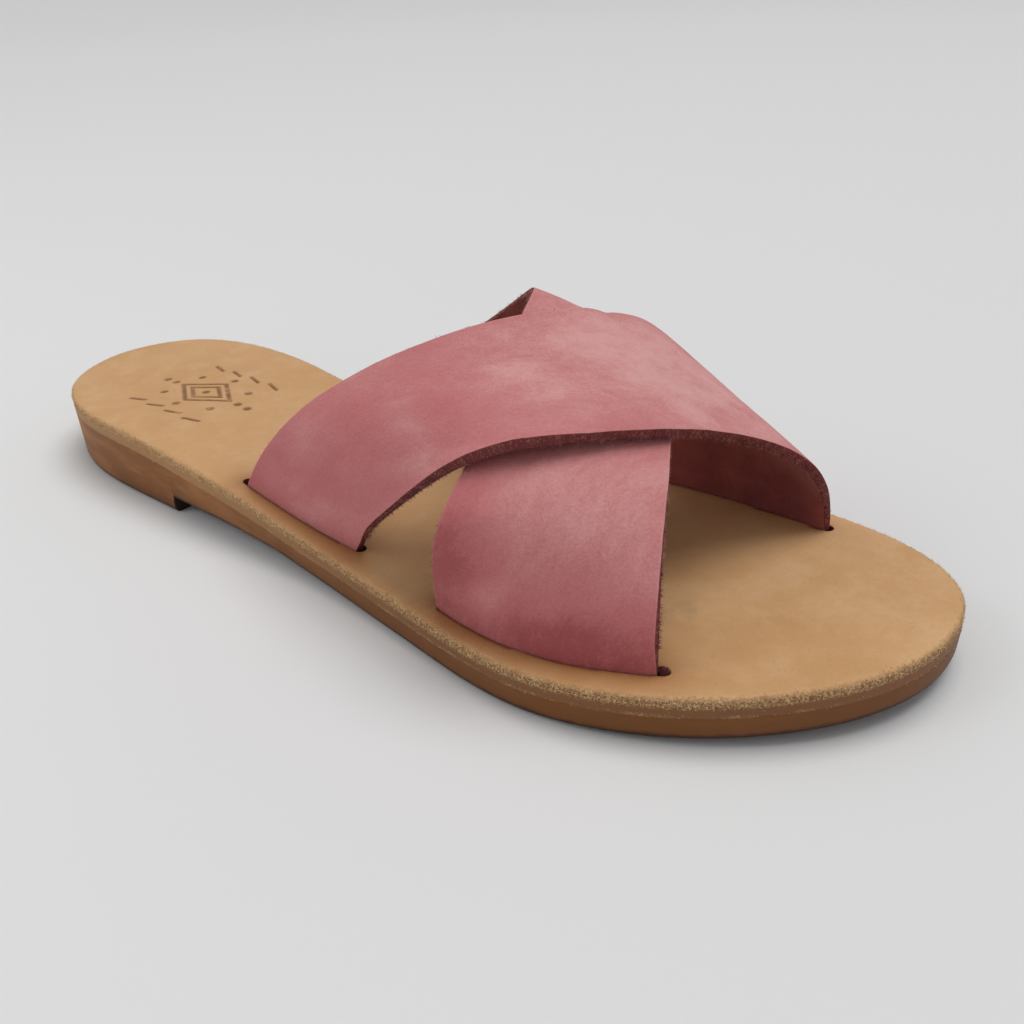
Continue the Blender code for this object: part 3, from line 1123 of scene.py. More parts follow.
@dataclass
class Strap:
    """One strap: a band of leather that rises from a slot, arches over the foot and goes down again."""

    name: str
    lines: tuple[CrossLine, ...]
    pattern: SolePattern
    folds: tuple[Fold, ...] = ()
    clouds: tuple[Cloud, ...] = ()
    wrinkles: tuple[Cloud, ...] = ()
    ribs: tuple[Cloud, ...] = ()
    curls: tuple[Curl, ...] = ()
    slot_ends: tuple[tuple[float, float], tuple[float, float]] = ((0.1, 0.1), (0.1, 0.1))
    lean: float = 0.0
    thickness: float = 2.3
    steps: int = 40
    across: int = 80
    edge_round: float = 0.3
    sharp_angle: float = 50.0
    wave: float = 0.14
    wave_size: float = 16.0
    crease: float = 0.025
    crease_worn: float = 0.09
    crease_size: float = 2.6
    held_length: float = 6.0

    def edge_curve(self, points: Sequence[tuple[float, float, float]]) -> np.ndarray:
        """Smooth edge from slot to slot, upright at the slots or leaning towards its own run.

        Args:
            points: The edge's points, from slot to slot.

        Returns:
            The curve's points.
        """
        run = np.subtract(points[1], points[0])
        rise = UP * (1 - self.lean) + run / np.linalg.norm(run) * self.lean
        return smooth_curve(points, self.steps, (rise / np.linalg.norm(rise), -UP))

    @cached_property
    def sheet(self) -> np.ndarray:
        """Middle of the strap's thickness: rows of points across it, in pattern millimetres.

        Returns:
            The points, by row and by column across.
        """
        ends = [
            [(x, y, float(self.pattern.bed(x)) if z is None else z) for x, y, z in side]
            for side in ([line.rear for line in self.lines], [line.front for line in self.lines])
        ]
        rear, front = (self.edge_curve(side) for side in ends)
        place = np.linspace(0, len(self.lines) - 1, len(rear))
        bow = np.interp(place, np.arange(len(self.lines)), [line.bow for line in self.lines])
        outward = self.outward(rear, front)
        share = np.linspace(0, 1, self.across + 1)[None, :, None]
        sheet = rear[:, None] * (1 - share) + front[:, None] * share
        rise = bow[:, None, None] * 4 * share * (1 - share) - self.thickness / 2
        sheet = sheet + outward[:, None] * rise
        sheet[[0, -1], :, 2] = self.pattern.bed(sheet[[0, -1], :, 0])
        return sheet + outward[:, None] * self.relief(sheet)[:, :, None]

    @staticmethod
    def outward(rear: np.ndarray, front: np.ndarray) -> np.ndarray:
        """Directions away from the foot at each cross line, level at the slots.

        Args:
            rear: Points of the rear edge.
            front: Points of the front edge.

        Returns:
            A direction for each pair of them.
        """
        along = np.gradient((rear + front) / 2, axis=0)
        along[0] = UP
        along[-1] = -UP
        normals = np.cross(front - rear, along)
        normals /= np.linalg.norm(normals, axis=1)[:, None]
        return normals * np.sign(normals[len(rear) // 2] @ UP)

    @staticmethod
    def lay(sheet: np.ndarray) -> tuple[np.ndarray, np.ndarray]:
        """Millimetres along the strap's middle, and across it from the rear edge, for each point.

        Args:
            sheet: Points by row and column.

        Returns:
            The two distances, by row and column.
        """
        middle = sheet.mean(axis=1)
        run = np.append(0, np.cumsum(np.linalg.norm(np.diff(middle, axis=0), axis=1)))
        steps = np.linalg.norm(np.diff(sheet, axis=1), axis=2)
        across = np.concatenate([np.zeros((len(sheet), 1)), np.cumsum(steps, axis=1)], axis=1)
        return np.broadcast_to(run[:, None], across.shape), across

    def relief(self, sheet: np.ndarray) -> np.ndarray:
        """Height of the folds, waves and wrinkles over the plain sheet, in millimetres.

        Args:
            sheet: Points by row and column.

        Returns:
            The height at each of them.
        """
        along, across = self.lay(sheet)
        height = np.zeros(along.shape)
        for form in (*self.folds, *self.curls):
            height += form.lift(along, across)
        flat = sheet.reshape(-1, 3)
        height += self.wave * rough(flat, self.wave_size).reshape(height.shape)
        fine = rough(flat, self.crease_size).reshape(height.shape)
        height += fine * (self.crease + self.crease_worn * self.spread(self.wrinkles, sheet))
        held = np.minimum(along, along[-1:] - along)
        return height * np.clip(held / self.held_length, 0, 1)

    def spread(self, clouds: tuple[Cloud, ...], sheet: np.ndarray) -> np.ndarray:
        """Summed strength of soft clouds at each point of a sheet.

        Args:
            clouds: The clouds.
            sheet: Points by row and column.

        Returns:
            The strength at each of them.
        """
        along, across = self.lay(sheet)
        total = np.zeros(along.shape)
        for cloud in clouds:
            turn = math.radians(cloud.turn)
            u = along - cloud.along
            v = across - cloud.across * across[:, -1:]
            lengthwise = (u * math.cos(turn) + v * math.sin(turn)) / cloud.reach
            sideways = (v * math.cos(turn) - u * math.sin(turn)) / cloud.width
            total += cloud.strength * np.exp(-(lengthwise**2) - sideways**2)
        return total

    def build(self, grain: Nubuck, flesh: FleshSide, edge: CutEdge) -> bpy.types.Object:
        """Makes the strap as a dressed piece.

        Args:
            grain: Finish of the outer side.
            flesh: Finish of the inner side.
            edge: Finish of the cut edge.

        Returns:
            The strap's object.
        """
        deep = UP * self.pattern.insole_thickness
        first, last = self.sheet[:1], self.sheet[-1:]
        sheet = np.concatenate([first - deep, first - deep / 2, self.sheet, last - deep / 2, last - deep])
        along, across = self.lay(sheet)
        rim = np.zeros(along.shape)
        rim[:, [0, -1]] = 1.0
        looks = {
            # Smudges and painted light and shade on the nubuck.
            "tone": self.spread(self.clouds, sheet),
            "wrinkled": self.spread(self.wrinkles, sheet),
            "ribbed": self.spread(self.ribs, sheet),
            "rim": rim,
        }
        bm = bmesh.new()
        rows, columns = len(sheet) - 1, self.across
        bmesh.ops.create_grid(bm, x_segments=rows, y_segments=columns, size=1.0)
        lay = bm.verts.layers.float_vector.new("lay")
        layers = {name: bm.verts.layers.float.new(name) for name in looks}
        for vert in bm.verts:
            i = round((vert.co.x + 1) / 2 * rows)
            j = round((vert.co.y + 1) / 2 * columns)
            vert[lay] = Vector((along[i, j] * MM, across[i, j] * MM, 0.0))
            for name, layer in layers.items():
                vert[layer] = looks[name][i, j]
            vert.co = Vector(self.pattern.to_frame(sheet[i, j]))
        bm.normal_update()
        crest = min(bm.faces, key=lambda face: -face.calc_center_median().z)
        if crest.normal.z < 0:
            bmesh.ops.reverse_faces(bm, faces=bm.faces)
        thing = new_object(self.name, bm, self.sharp_angle)
        wall = thing.modifiers.new("leather thickness", "SOLIDIFY")
        wall.thickness = self.thickness * MM
        wall.offset = 0.0
        wall.use_even_offset = True
        wall.material_offset = 1
        wall.material_offset_rim = 2
        softened = thing.modifiers.new("softened edge", "BEVEL")
        softened.width = self.edge_round * MM
        softened.segments = 2
        softened.limit_method = "ANGLE"
        softened.angle_limit = math.radians(self.sharp_angle)
        softened.profile = 0.5
        softened.material = -1
        for finish, part in ((grain, "grain"), (flesh, "flesh"), (edge, "edge")):
            thing.data.materials.append(finish.material(self.name + "_" + part))
        dress(thing, "upper")
        return thing

    def slot_line(self, last: bool) -> np.ndarray:
        """Plan line where the strap goes into the foot bed."""
        return self.sheet[-1 if last else 0, :, :2]

    def tuck(self, finish: CutEdge) -> bpy.types.Object:
        """Small rolled lump of the raw edge, stuck in the open end of the strap's first slot.

        Args:
            finish: Finish of the raw edge.

        Returns:
            The lump's object.
        """
        beyond = 1.0
        sink = 0.3
        unevenness = 0.35
        half = np.array([1.0, 0.8, 1.2])
        line = self.slot_line(False)
        ahead = (line[-1] - line[-2]) / np.linalg.norm(line[-1] - line[-2])
        x, y = line[-1] + ahead * beyond
        bm = bmesh.new()
        bmesh.ops.create_icosphere(bm, subdivisions=4, radius=1.0)
        bumps = rough(np.array([vert.co for vert in bm.verts]), 0.8)
        for vert, swell in zip(bm.verts, bumps):
            size = half * (1 + unevenness * swell)
            vert.co = Vector(np.array(vert.co) * size + np.array([x, y, self.pattern.bed(x) - sink]))
        self.pattern.place(bm)
        thing = new_object(self.name + "_tuck", bm, 180)
        thing.data.materials.append(finish.material(self.name + "_tuck"))
        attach(thing, ROOT)
        LOG.info("%s: %d faces", thing.name, len(thing.data.polygons))
        return thing

    def fray(self, fuzz: Fuzz, seed: int) -> bpy.types.Object:
        """Loose fibres along both raw edges, most of them at the flesh side.

        Args:
            fuzz: The fibres, counted for each edge.
            seed: Start of the random numbers.

        Returns:
            The joined fibres.
        """
        bare_rows = 6
        root_depth = 0.05
        lowest = 0.98
        outwards = (0.2, 1.0)
        towards_foot = (-0.9, 0.2)
        scatter = 0.45
        chance = np.random.default_rng(seed)
        count = fuzz.count
        roots = []
        ways = []
        inside = self.sheet[bare_rows:-bare_rows]
        normals = np.cross(inside[:, -1] - inside[:, 0], np.gradient(inside.mean(axis=1), axis=0))
        normals /= np.linalg.norm(normals, axis=1)[:, None]
        normals *= np.sign(normals[len(normals) // 2] @ UP)
        for edge, beside in ((-1, -2), (0, 1)):
            out = inside[:, edge] - inside[:, beside]
            out /= np.linalg.norm(out, axis=1)[:, None]
            pick = chance.integers(0, len(inside) - 1, count)
            share = chance.random((count, 1))
            base = inside[pick, edge] * (1 - share) + inside[pick + 1, edge] * share
            low = np.minimum(chance.random((count, 1)) ** 0.5, lowest)
            roots.append(base + normals[pick] * self.thickness * (0.5 - low) - out[pick] * root_depth)
            ways.append(
                out[pick] * chance.uniform(*outwards, (count, 1))
                + normals[pick] * chance.uniform(*towards_foot, (count, 1))
                + chance.normal(0, scatter, (count, 3))
            )
        places = self.pattern.to_frame(np.vstack(roots))
        return fibres(self.name + "_fray", places, np.vstack(ways), fuzz, chance)


def fibres(
    name: str, roots: np.ndarray, ways: np.ndarray, fuzz: Fuzz, chance: np.random.Generator
) -> bpy.types.Object:
    """Joined mesh of short tapered fibres.

    Args:
        name: The piece's name.
        roots: Where each fibre starts, in metres.
        ways: The direction that each one takes.
        fuzz: The fibres' lengths, radius and finish.
        chance: Random numbers.

    Returns:
        The fibres' object.
    """
    batch = 300
    joined = bmesh.new()
    lengths = chance.uniform(*fuzz.lengths, len(roots)) * MM
    for first in range(0, len(roots), batch):
        some = bmesh.new()
        chosen = slice(first, first + batch)
        for root, way, length in zip(roots[chosen], ways[chosen], lengths[chosen]):
            way = Vector(way).normalized()
            turn = way.to_track_quat("Z", "Y").to_matrix().to_4x4()
            bmesh.ops.create_cone(
                some,
                segments=3,
                radius1=fuzz.radius * MM,
                radius2=0.0,
                depth=length,
                cap_ends=True,
                matrix=Matrix.Translation(Vector(root) + way * length / 2) @ turn,
            )
        mesh = bpy.data.meshes.new(name + "_batch")
        some.to_mesh(mesh)
        some.free()
        joined.from_mesh(mesh)
        bpy.data.meshes.remove(mesh)
    thing = new_object(name, joined, 180)
    thing.data.materials.append(fuzz.finish.material(name))
    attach(thing, ROOT)
    LOG.info("%s: %d fibres", name, len(roots))
    return thing


@dataclass(frozen=True)
class PressedMark:
    """Plain ornament pressed into the heel seat: two lozenges between rows of dots and short bars."""

    middle: tuple[float, float] = (51.5, -3.0)
    lozenges: tuple[tuple[float, float], ...] = ((10.5, 7.0), (6.4, 4.2))
    dots: tuple[tuple[float, float], ...] = ((14.0, 0.0), (18.0, 0.0), (10.5, 6.5), (0.0, 10.0), (0.0, 0.0))
    bar_centres: tuple[float, ...] = (-12.0, -4.0, 4.0, 12.0)
    bar_row: float = 14.0
    bar_half: float = 2.3
    bar_rise: float = 0.7
    dot_radius: float = 0.95
    line: float = 0.42
    soft: float = 0.4
    depth: float = 0.32
    margin: float = 2.0

    def covers(self, x: float, y: float) -> bool:
        """Whether a place lies in the ornament's field.

        Args:
            x: Millimetres from the back of the heel.
            y: Millimetres to the inner side.

        Returns:
            True inside the field.
        """
        across = self.bar_row + self.margin
        along = self.dots[1][0] + self.margin
        return abs(x - self.middle[0]) < along and abs(y - self.middle[1]) < across

    def press(self, plan: np.ndarray) -> np.ndarray:
        """How deep the ornament is pressed, from 0 to 1.

        Args:
            plan: Places on the foot bed, a row each, in pattern millimetres.

        Returns:
            One share for each place.
        """
        u = np.abs(plan[:, 0] - self.middle[0])
        v = np.abs(plan[:, 1] - self.middle[1])
        gaps = []
        for long, wide in self.lozenges:
            gaps.append(np.abs(u / long + v / wide - 1) * long * wide / math.hypot(long, wide) - self.line)
        for x, y in self.dots:
            gaps.append(np.hypot(u - x, v - y) - self.dot_radius)
        along = plan[:, 0] - self.middle[0]
        for centre in self.bar_centres:
            beyond = np.maximum(np.abs(along - centre) - self.bar_half, 0)
            slant = (along - centre) / self.bar_half * self.bar_rise
            gaps.append(np.hypot(beyond, v - self.bar_row + slant) - self.line)
        nearest = np.min(gaps, axis=0)
        return np.clip(1 - nearest / self.soft, 0, 1) ** 1.5


@dataclass
class FootBed:
    """Leather insole with a rounded top edge, a rough cut side and four slots."""

    pattern: SolePattern
    straps: tuple[Strap, ...]
    mark: PressedMark = PressedMark()
    spacing: float = 0.85
    across: int = 66
    slot_width: float = 2.8
    wave: float = 0.12
    wave_size: float = 18.0
    ragged: float = 0.05
    tear_sizes: tuple[float, float] = (1.7, 9.0)
    stain_place: tuple[float, float] = (210.5, -10.5)
    stain_reach: tuple[float, float] = (3.4, 5.0)
    shade_start: float = 1.6
    shade_reach: float = 4.3
    cut_band: float = 1.5
    aft_start: float = 170.0
    aft_run: float = 80.0
    edge: tuple[Ring, ...] = (
        Ring(1.2, 0.0),
        Ring(0.75, 0.08),
        Ring(0.4, 0.28),
        Ring(0.14, 0.6),
        Ring(0.0, 1.1),
        Ring(0.0, 1.6),
        Ring(0.0, 2.1),
        Ring(0.0, 2.6),
        Ring(0.0, 3.1),
        Ring(0.0, 3.6),
        Ring(0.0, 4.0),
        Ring(0.0, 4.3),
    )

    def slots(self) -> list[tuple[np.ndarray, tuple[float, float]]]:
        """The plan line of each slot, with how far it goes on at both ends.

        Returns:
            A pair of line and ends for each slot, the over strap's first.
        """
        return [
            (strap.slot_line(last), strap.slot_ends[int(last)])
            for strap in self.straps
            for last in (False, True)
        ]

    def slot_outline(self, line: np.ndarray, ends: tuple[float, float]) -> np.ndarray:
        """Plan outline of a slot round a strap's line.

        Args:
            line: The strap's plan line, from its rear edge to its front edge.
            ends: How far the slot goes on behind and ahead of it, in millimetres.

        Returns:
            The outline's points, in order.
        """
        first = line[0] - line[1]
        last = line[-1] - line[-2]
        start = line[0] + first / np.linalg.norm(first) * ends[0]
        end = line[-1] + last / np.linalg.norm(last) * ends[1]
        line = np.vstack([start, line[4:-4:4], end])
        along = np.gradient(line, axis=0)
        along *= self.slot_width / 2 / np.linalg.norm(along, axis=1)[:, None]
        side = np.column_stack([along[:, 1], -along[:, 0]])
        turns = np.radians([30.0, 60.0, 90.0, 120.0, 150.0])[:, None]
        far = line[-1] + np.cos(turns) * side[-1] + np.sin(turns) * along[-1]
        near = line[0] - np.cos(turns) * side[0] - np.sin(turns) * along[0]
        return np.vstack([line + side, far, (line - side)[::-1], near])

    def cutter(self) -> bpy.types.Object:
        """One block for each slot, standing through the leather.

        Returns:
            The blocks, as one object.
        """
        bm = bmesh.new()
        for line, ends in self.slots():
            outline = self.slot_outline(line, ends)
            level = self.pattern.bed(outline[:, 0])
            low = float(level.min()) - 2 * self.pattern.insole_thickness
            ring = np.column_stack([outline, np.full(len(outline), low)])
            floor = bm.faces.new([bm.verts.new(point) for point in self.pattern.to_frame(ring)])
            grown = bmesh.ops.extrude_face_region(bm, geom=[floor])["geom"]
            lifted = [item for item in grown if isinstance(item, bmesh.types.BMVert)]
            height = (float(level.max()) - low + self.pattern.insole_thickness) * MM
            bmesh.ops.translate(bm, verts=lifted, vec=UP * height)
        bmesh.ops.recalc_face_normals(bm, faces=bm.faces)
        return new_object("slot_cutter", bm, 30)

    def body(self) -> bmesh.types.BMesh:
        """The leather before its slots are cut, in pattern millimetres.

        Returns:
            The closed mesh.
        """
        plan = self.pattern.loop(self.spacing)
        rings = []
        for ring in self.edge:
            place = np.column_stack([plan, np.full(len(plan), ring.level)])
            torn = self.ragged * sum(rough(place, size) for size in self.tear_sizes) if ring.level else 0.0
            edge = inset_loop(plan, ring.inset - torn)
            rings.append(np.column_stack([edge, self.pattern.bed(edge[:, 0]) - ring.level]))
        bm = Slab(rings, self.across).build()
        field_faces = [
            face
            for face in bm.faces
            if face.normal.z > 0.5 and self.mark.covers(*face.calc_center_median().xy)
        ]
        edges = list({edge for face in field_faces for edge in face.edges})
        bmesh.ops.subdivide_edges(bm, edges=edges, cuts=2, use_grid_fill=True)
        top = [vert for vert in bm.verts if vert.co.z > self.pattern.bed(vert.co.x) - 0.02]
        places = np.array([vert.co for vert in top])
        worn = np.clip(0.9 + 0.6 * rough(places, 7.0), 0.15, 1)
        press = self.mark.press(places[:, :2]) * worn
        lift = self.wave * rough(places * (1, 1, 0), self.wave_size) - self.mark.depth * press
        for vert, height in zip(top, lift):
            vert.co.z += height
        return bm

    def build(self, leather: TannedLeather) -> bpy.types.Object:
        """Makes the foot bed as a dressed piece.

        Args:
            leather: The leather's finish.

        Returns:
            The foot bed's object.
        """
        bm = self.body()
        self.pattern.place(bm)
        thing = new_object("foot_bed", bm, 60)
        cutter = self.cutter()
        cut = thing.modifiers.new("strap slots", "BOOLEAN")
        cut.operation = "DIFFERENCE"
        cut.solver = "EXACT"
        cut.object = cutter
        settle(thing)
        bpy.data.objects.remove(cutter)
        self.note_places(thing)
        thing.data.materials.clear()
        thing.data.materials.append(leather.material("foot_bed_leather"))
        thing.data.materials.append(leather.slot_shadow_material("foot_bed_slot_shadow"))
        self.darken_slots(thing)
        dress(thing, "insole")
        return thing

    def note_places(self, thing: bpy.types.Object) -> None:
        """Stores each vertex's depth below the grain, and its shares of painted shade beside the slots,
        stain and ornament.

        Args:
            thing: The foot bed, with its slots cut.
        """
        points = vertices_of(thing) / MM + np.array([*self.pattern.middle, 0.0])
        plan = points[:, None, :2]
        x, y, z = points.T
        depth = self.pattern.bed(x) - z
        near = np.full(len(points), np.inf)
        for line, _ in self.slots():
            near = np.minimum(near, np.linalg.norm(plan - line[None, ::3], axis=2).min(axis=1))
        inside = np.linalg.norm(plan - self.pattern.loop(2.0)[None], axis=2).min(axis=1)
        forward = (x - self.stain_place[0]) / self.stain_reach[0]
        sideways = (y - self.stain_place[1]) / self.stain_reach[1]
        stain = np.exp(-(forward**2) - sideways**2)
        # Painted shade round the slots: strongest on the outer side, weaker on the inner side.
        outer = np.clip((-y - 12) / 12, 0.45, 1)
        shade = outer * np.exp(-np.maximum(near - self.shade_start, 0) / self.shade_reach)
        write_values(thing, "depth", np.where(inside > self.cut_band, 0.0, depth))
        write_values(thing, "slot_shade", shade)
        write_values(thing, "stain", stain * np.clip(0.6 + rough(points, 4.0), 0, 1))
        write_values(thing, "pressed", np.where(depth < 1.0, self.mark.press(points[:, :2]), 0.0))
        write_values(thing, "aft", np.clip((self.aft_start - x) / self.aft_run, 0, 1))

    def darken_slots(self, thing: bpy.types.Object) -> None:
        """Gives the upright walls of the slots the second material, which paints them in shadow.

        Args:
            thing: The foot bed, with its slots cut.
        """
        lines = np.vstack([line[::3] for line, _ in self.slots()])
        for face in thing.data.polygons:
            if abs(face.normal.z) < 0.5:
                place = np.array(face.center[:2]) / MM + self.pattern.middle
                if np.linalg.norm(lines - place, axis=1).min() < self.slot_width + 0.3:
                    face.material_index = 1

    def nap(self, fuzz: Fuzz, seed: int) -> bpy.types.Object:
        """Short raised fibres round the cut side: a wide band at the top and a thin one at the foot.

        Args:
            fuzz: The fibres, counted for the whole sole.
            seed: Start of the random numbers.

        Returns:
            The joined fibres.
        """
        top_band = (0.9, 0.75)
        foot_band = (3.95, 0.12)
        top_share = 0.93
        depths = (0.05, 4.15)
        root_depth = 0.03
        outwards = (0.15, 0.8)
        sideways = 0.8
        upwards = (0.1, 0.45)
        chance = np.random.default_rng(seed)
        count = fuzz.count
        plan = self.pattern.loop(self.spacing)
        pick = chance.integers(0, len(plan), count)
        upper = np.abs(chance.normal(*top_band, count))
        lower = chance.normal(*foot_band, count)
        depth = np.clip(np.where(chance.random(count) < top_share, upper, lower), *depths)
        inset = np.interp(depth, [ring.level for ring in self.edge], [ring.inset for ring in self.edge])
        ahead = np.roll(plan, -1, axis=0) - plan
        along = ahead[pick] / np.linalg.norm(ahead[pick], axis=1)[:, None]
        outward = np.column_stack([-along[:, 1], along[:, 0]])
        base = plan[pick] + ahead[pick] * chance.random((count, 1)) - outward * (inset + root_depth)[:, None]
        roots = np.column_stack([base, self.pattern.bed(base[:, 0]) - depth])
        ways = np.column_stack([outward, np.zeros(count)]) * chance.uniform(*outwards, (count, 1))
        ways += np.column_stack([along, np.zeros(count)]) * chance.normal(0, sideways, (count, 1))
        ways[:, 2] += chance.normal(*upwards, count)
        return fibres("foot_bed_nap", self.pattern.to_frame(roots), ways, fuzz, chance)


@dataclass
class SoleUnit:
    """Moulded sole with its low heel, arched shank and toe spring."""

    pattern: SolePattern
    spacing: float = 1.6
    across: int = 6
    top_edge: tuple[Ring, ...] = (Ring(0.02, 0.0), Ring(0.01, 0.06), Ring(0.0, 0.3))
    tread_edge: tuple[Ring, ...] = (Ring(0.12, 1.5), Ring(0.35, 0.7), Ring(0.8, 0.22), Ring(1.6, 0.0))

    def build(self, unit: MouldedUnit) -> bpy.types.Object:
        """Makes the sole as a dressed piece.

        Args:
            unit: The unit's finish.

        Returns:
            The sole's object.
        """
        plan = self.pattern.loop(self.spacing)
        drop = self.pattern.insole_thickness + self.pattern.seam
        wall = self.pattern.bed(plan[:, 0]) - drop - self.pattern.underside(plan[:, 0])
        rings = []
        for ring in self.top_edge:
            edge = inset_loop(plan, ring.inset)
            rings.append(np.column_stack([edge, self.pattern.bed(edge[:, 0]) - drop - ring.level]))
        for ring in self.tread_edge:
            edge = inset_loop(plan, ring.inset + self.pattern.side_draft * wall)
            rings.append(np.column_stack([edge, self.pattern.underside(edge[:, 0]) + ring.level]))
        bm = Slab(rings, self.across).build()
        self.pattern.place(bm)
        thing = new_object("sole_unit", bm, 40)
        points = vertices_of(thing) / MM + np.array([*self.pattern.middle, 0.0])
        write_values(thing, "rise", (points[:, 2] - self.pattern.underside(points[:, 0])) * MM)
        thing.data.materials.append(unit.material("sole_unit_brown"))
        dress(thing, "outsole")
        return thing


def dress(thing: bpy.types.Object, node: str) -> None:
    """Lets a piece ride with the sandal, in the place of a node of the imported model.

    Args:
        thing: The finished piece.
        node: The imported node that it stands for.
    """
    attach(thing, ROOT)
    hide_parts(node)
    LOG.info("%s: %d faces, for %s", thing.name, len(thing.data.polygons), node)


@dataclass
class Studio:
    """Pale floor that sweeps up behind the sandal, soft light from above, and the camera."""

    eye: tuple[float, float, float] = (0.16763, -0.16042, 0.12483)
    azimuth: float = 40.26
    elevation: float = 28.28
    roll: float = -2.77
    lens: float = 36.88
    sensor: float = 36.0
    floor_tone: float = 0.73
    floor_far_shade: float = 0.65
    floor_half: float = 6.0
    sweep_start: float = 2.2
    sweep_rise: float = 0.22
    sky: float = 0.45
    sun_power: float = 1.45
    sun_spread: float = 40.0
    sun_from: tuple[float, float, float] = (0.10, 0.30, 1.0)
    fill_power: float = 0.65
    fill_size: float = 0.35
    fill_place: tuple[float, float, float] = (-0.36, -0.48, 0.52)

    def camera(self) -> None:
        """Places the camera at the photograph's angle to the shoe."""
        turn, lift, roll = (math.radians(a) for a in (self.azimuth, self.elevation, self.roll))
        back = Vector((math.sin(turn) * math.cos(lift), -math.cos(turn) * math.cos(lift), math.sin(lift)))
        level = (-back).cross(Vector(UP)).normalized()
        above = level.cross(-back)
        right = level * math.cos(roll) + above * math.sin(roll)
        up = above * math.cos(roll) - level * math.sin(roll)
        data = bpy.data.cameras.new("camera")
        data.lens = self.lens
        data.sensor_width = self.sensor
        data.clip_start = 0.01
        camera = bpy.data.objects.new("camera", data)
        camera.matrix_world = Matrix.Translation(self.eye) @ Matrix((right, up, back)).transposed().to_4x4()
        bpy.context.scene.collection.objects.link(camera)
        bpy.context.scene.camera = camera

    def floor(self) -> None:
        """Lays a floor that curves up far behind the sandal, with painted shade that darkens it with
        distance.
        """
        bm = bmesh.new()
        bmesh.ops.create_grid(bm, x_segments=80, y_segments=80, size=self.floor_half)
        for vert in bm.verts:
            far = max(0.0, math.hypot(vert.co.x, vert.co.y) - self.sweep_start)
            vert.co.z = self.sweep_rise * far * far
        floor = new_object("studio_floor", bm, 180)
        bench = Bench("studio_floor")
        length = bench.nodes.new("ShaderNodeVectorMath")
        length.operation = "LENGTH"
        bench.plug(bench.object_place, length.inputs[0])
        # Painted shade: the floor darkens with distance from the sandal.
        distance = bench.span(length.outputs["Value"], 0.35, 3.5)
        tone = bench.mix(distance, (self.floor_tone,) * 3, (self.floor_far_shade,) * 3)
        floor.data.materials.append(bench.finish(Base_Color=tone, Roughness=0.9, Specular_IOR_Level=0.2))

    def lights(self) -> None:
        """Sets the wide light from above, a weak one from the outer side and the even light all round."""
        world = bpy.data.worlds.new("studio_air")
        world.use_nodes = True
        world.node_tree.nodes["Background"].inputs["Color"].default_value = (1.0, 1.0, 1.0, 1.0)
        world.node_tree.nodes["Background"].inputs["Strength"].default_value = self.sky
        bpy.context.scene.world = world
        wide = bpy.data.lights.new("wide_light", "SUN")
        wide.energy = self.sun_power
        wide.angle = math.radians(self.sun_spread)
        weak = bpy.data.lights.new("side_light", "AREA")
        weak.shape = "DISK"
        weak.size = self.fill_size
        weak.energy = self.fill_power
        for data, place in ((wide, self.sun_from), (weak, self.fill_place)):
            lamp = bpy.data.objects.new(data.name, data)
            lamp.location = place
            lamp.rotation_euler = Vector(place).to_track_quat("Z", "Y").to_euler()
            bpy.context.scene.collection.objects.link(lamp)

    def build(self) -> None:
        """Sets up the whole studio."""
        bpy.context.scene.view_settings.view_transform = "Standard"
        self.camera()
        self.floor()
        self.lights()


OVER_LINES = (
    CrossLine((101.5, -29.0, None), (140.5, -31.0, None), 0.2),
    CrossLine((115.0, -26.5, 31.5), (159.5, -35.0, 29.0), 1.5),
    CrossLine((142.5, -16.0, 51.0), (180.0, -33.0, 44.5), 1.0),
    CrossLine((165.5, -0.5, 59.5), (201.0, -8.5, 45.5), 0.3),
    CrossLine((177.5, 23.0, 54.0), (209.5, 17.0, 36.5), 0.5),
    CrossLine((180.0, 39.0, 38.5), (218.0, 32.5, 24.0), 0.5),
    CrossLine((173.5, 38.0, None), (219.5, 36.0, None), 2.0),
)
UNDER_LINES = (
    CrossLine((169.5, -36.5, None), (217.0, -31.0, None), 4.5),
    CrossLine((177.0, -41.5, 33.0), (210.0, -17.5, 35.5), 4.5),
    CrossLine((172.5, -21.0, 45.5), (202.5, -4.0, 41.0), 2.0),
    CrossLine((164.0, -2.0, 55.5), (196.0, 8.5, 42.0), 1.5),
    CrossLine((155.0, 16.5, 59.0), (189.0, 23.5, 44.0), 1.5),
    CrossLine((131.5, 23.5, 44.0), (171.5, 34.5, 32.0), 0.5),
    CrossLine((100.0, 21.0, None), (145.0, 28.5, None), 0.0),
)
OVER_FOLDS = (
    Fold((103.5, -0.05), (107.0, 0.55), -0.40, 1.6),
    Fold((97.5, -0.05), (101.0, 0.5), 0.30, 3.0),
    Fold((112.0, -0.05), (114.0, 0.35), 0.45, 5.0),
    Fold((30.0, 0.2), (62.0, 0.75), 0.30, 7.0),
    Fold((108.0, 0.62), (113.0, 0.72), -0.20, 1.4),
    Fold((113.0, 0.66), (118.0, 0.80), -0.18, 1.2),
    Fold((120.0, 0.3), (136.0, 0.8), -0.25, 4.0),
)
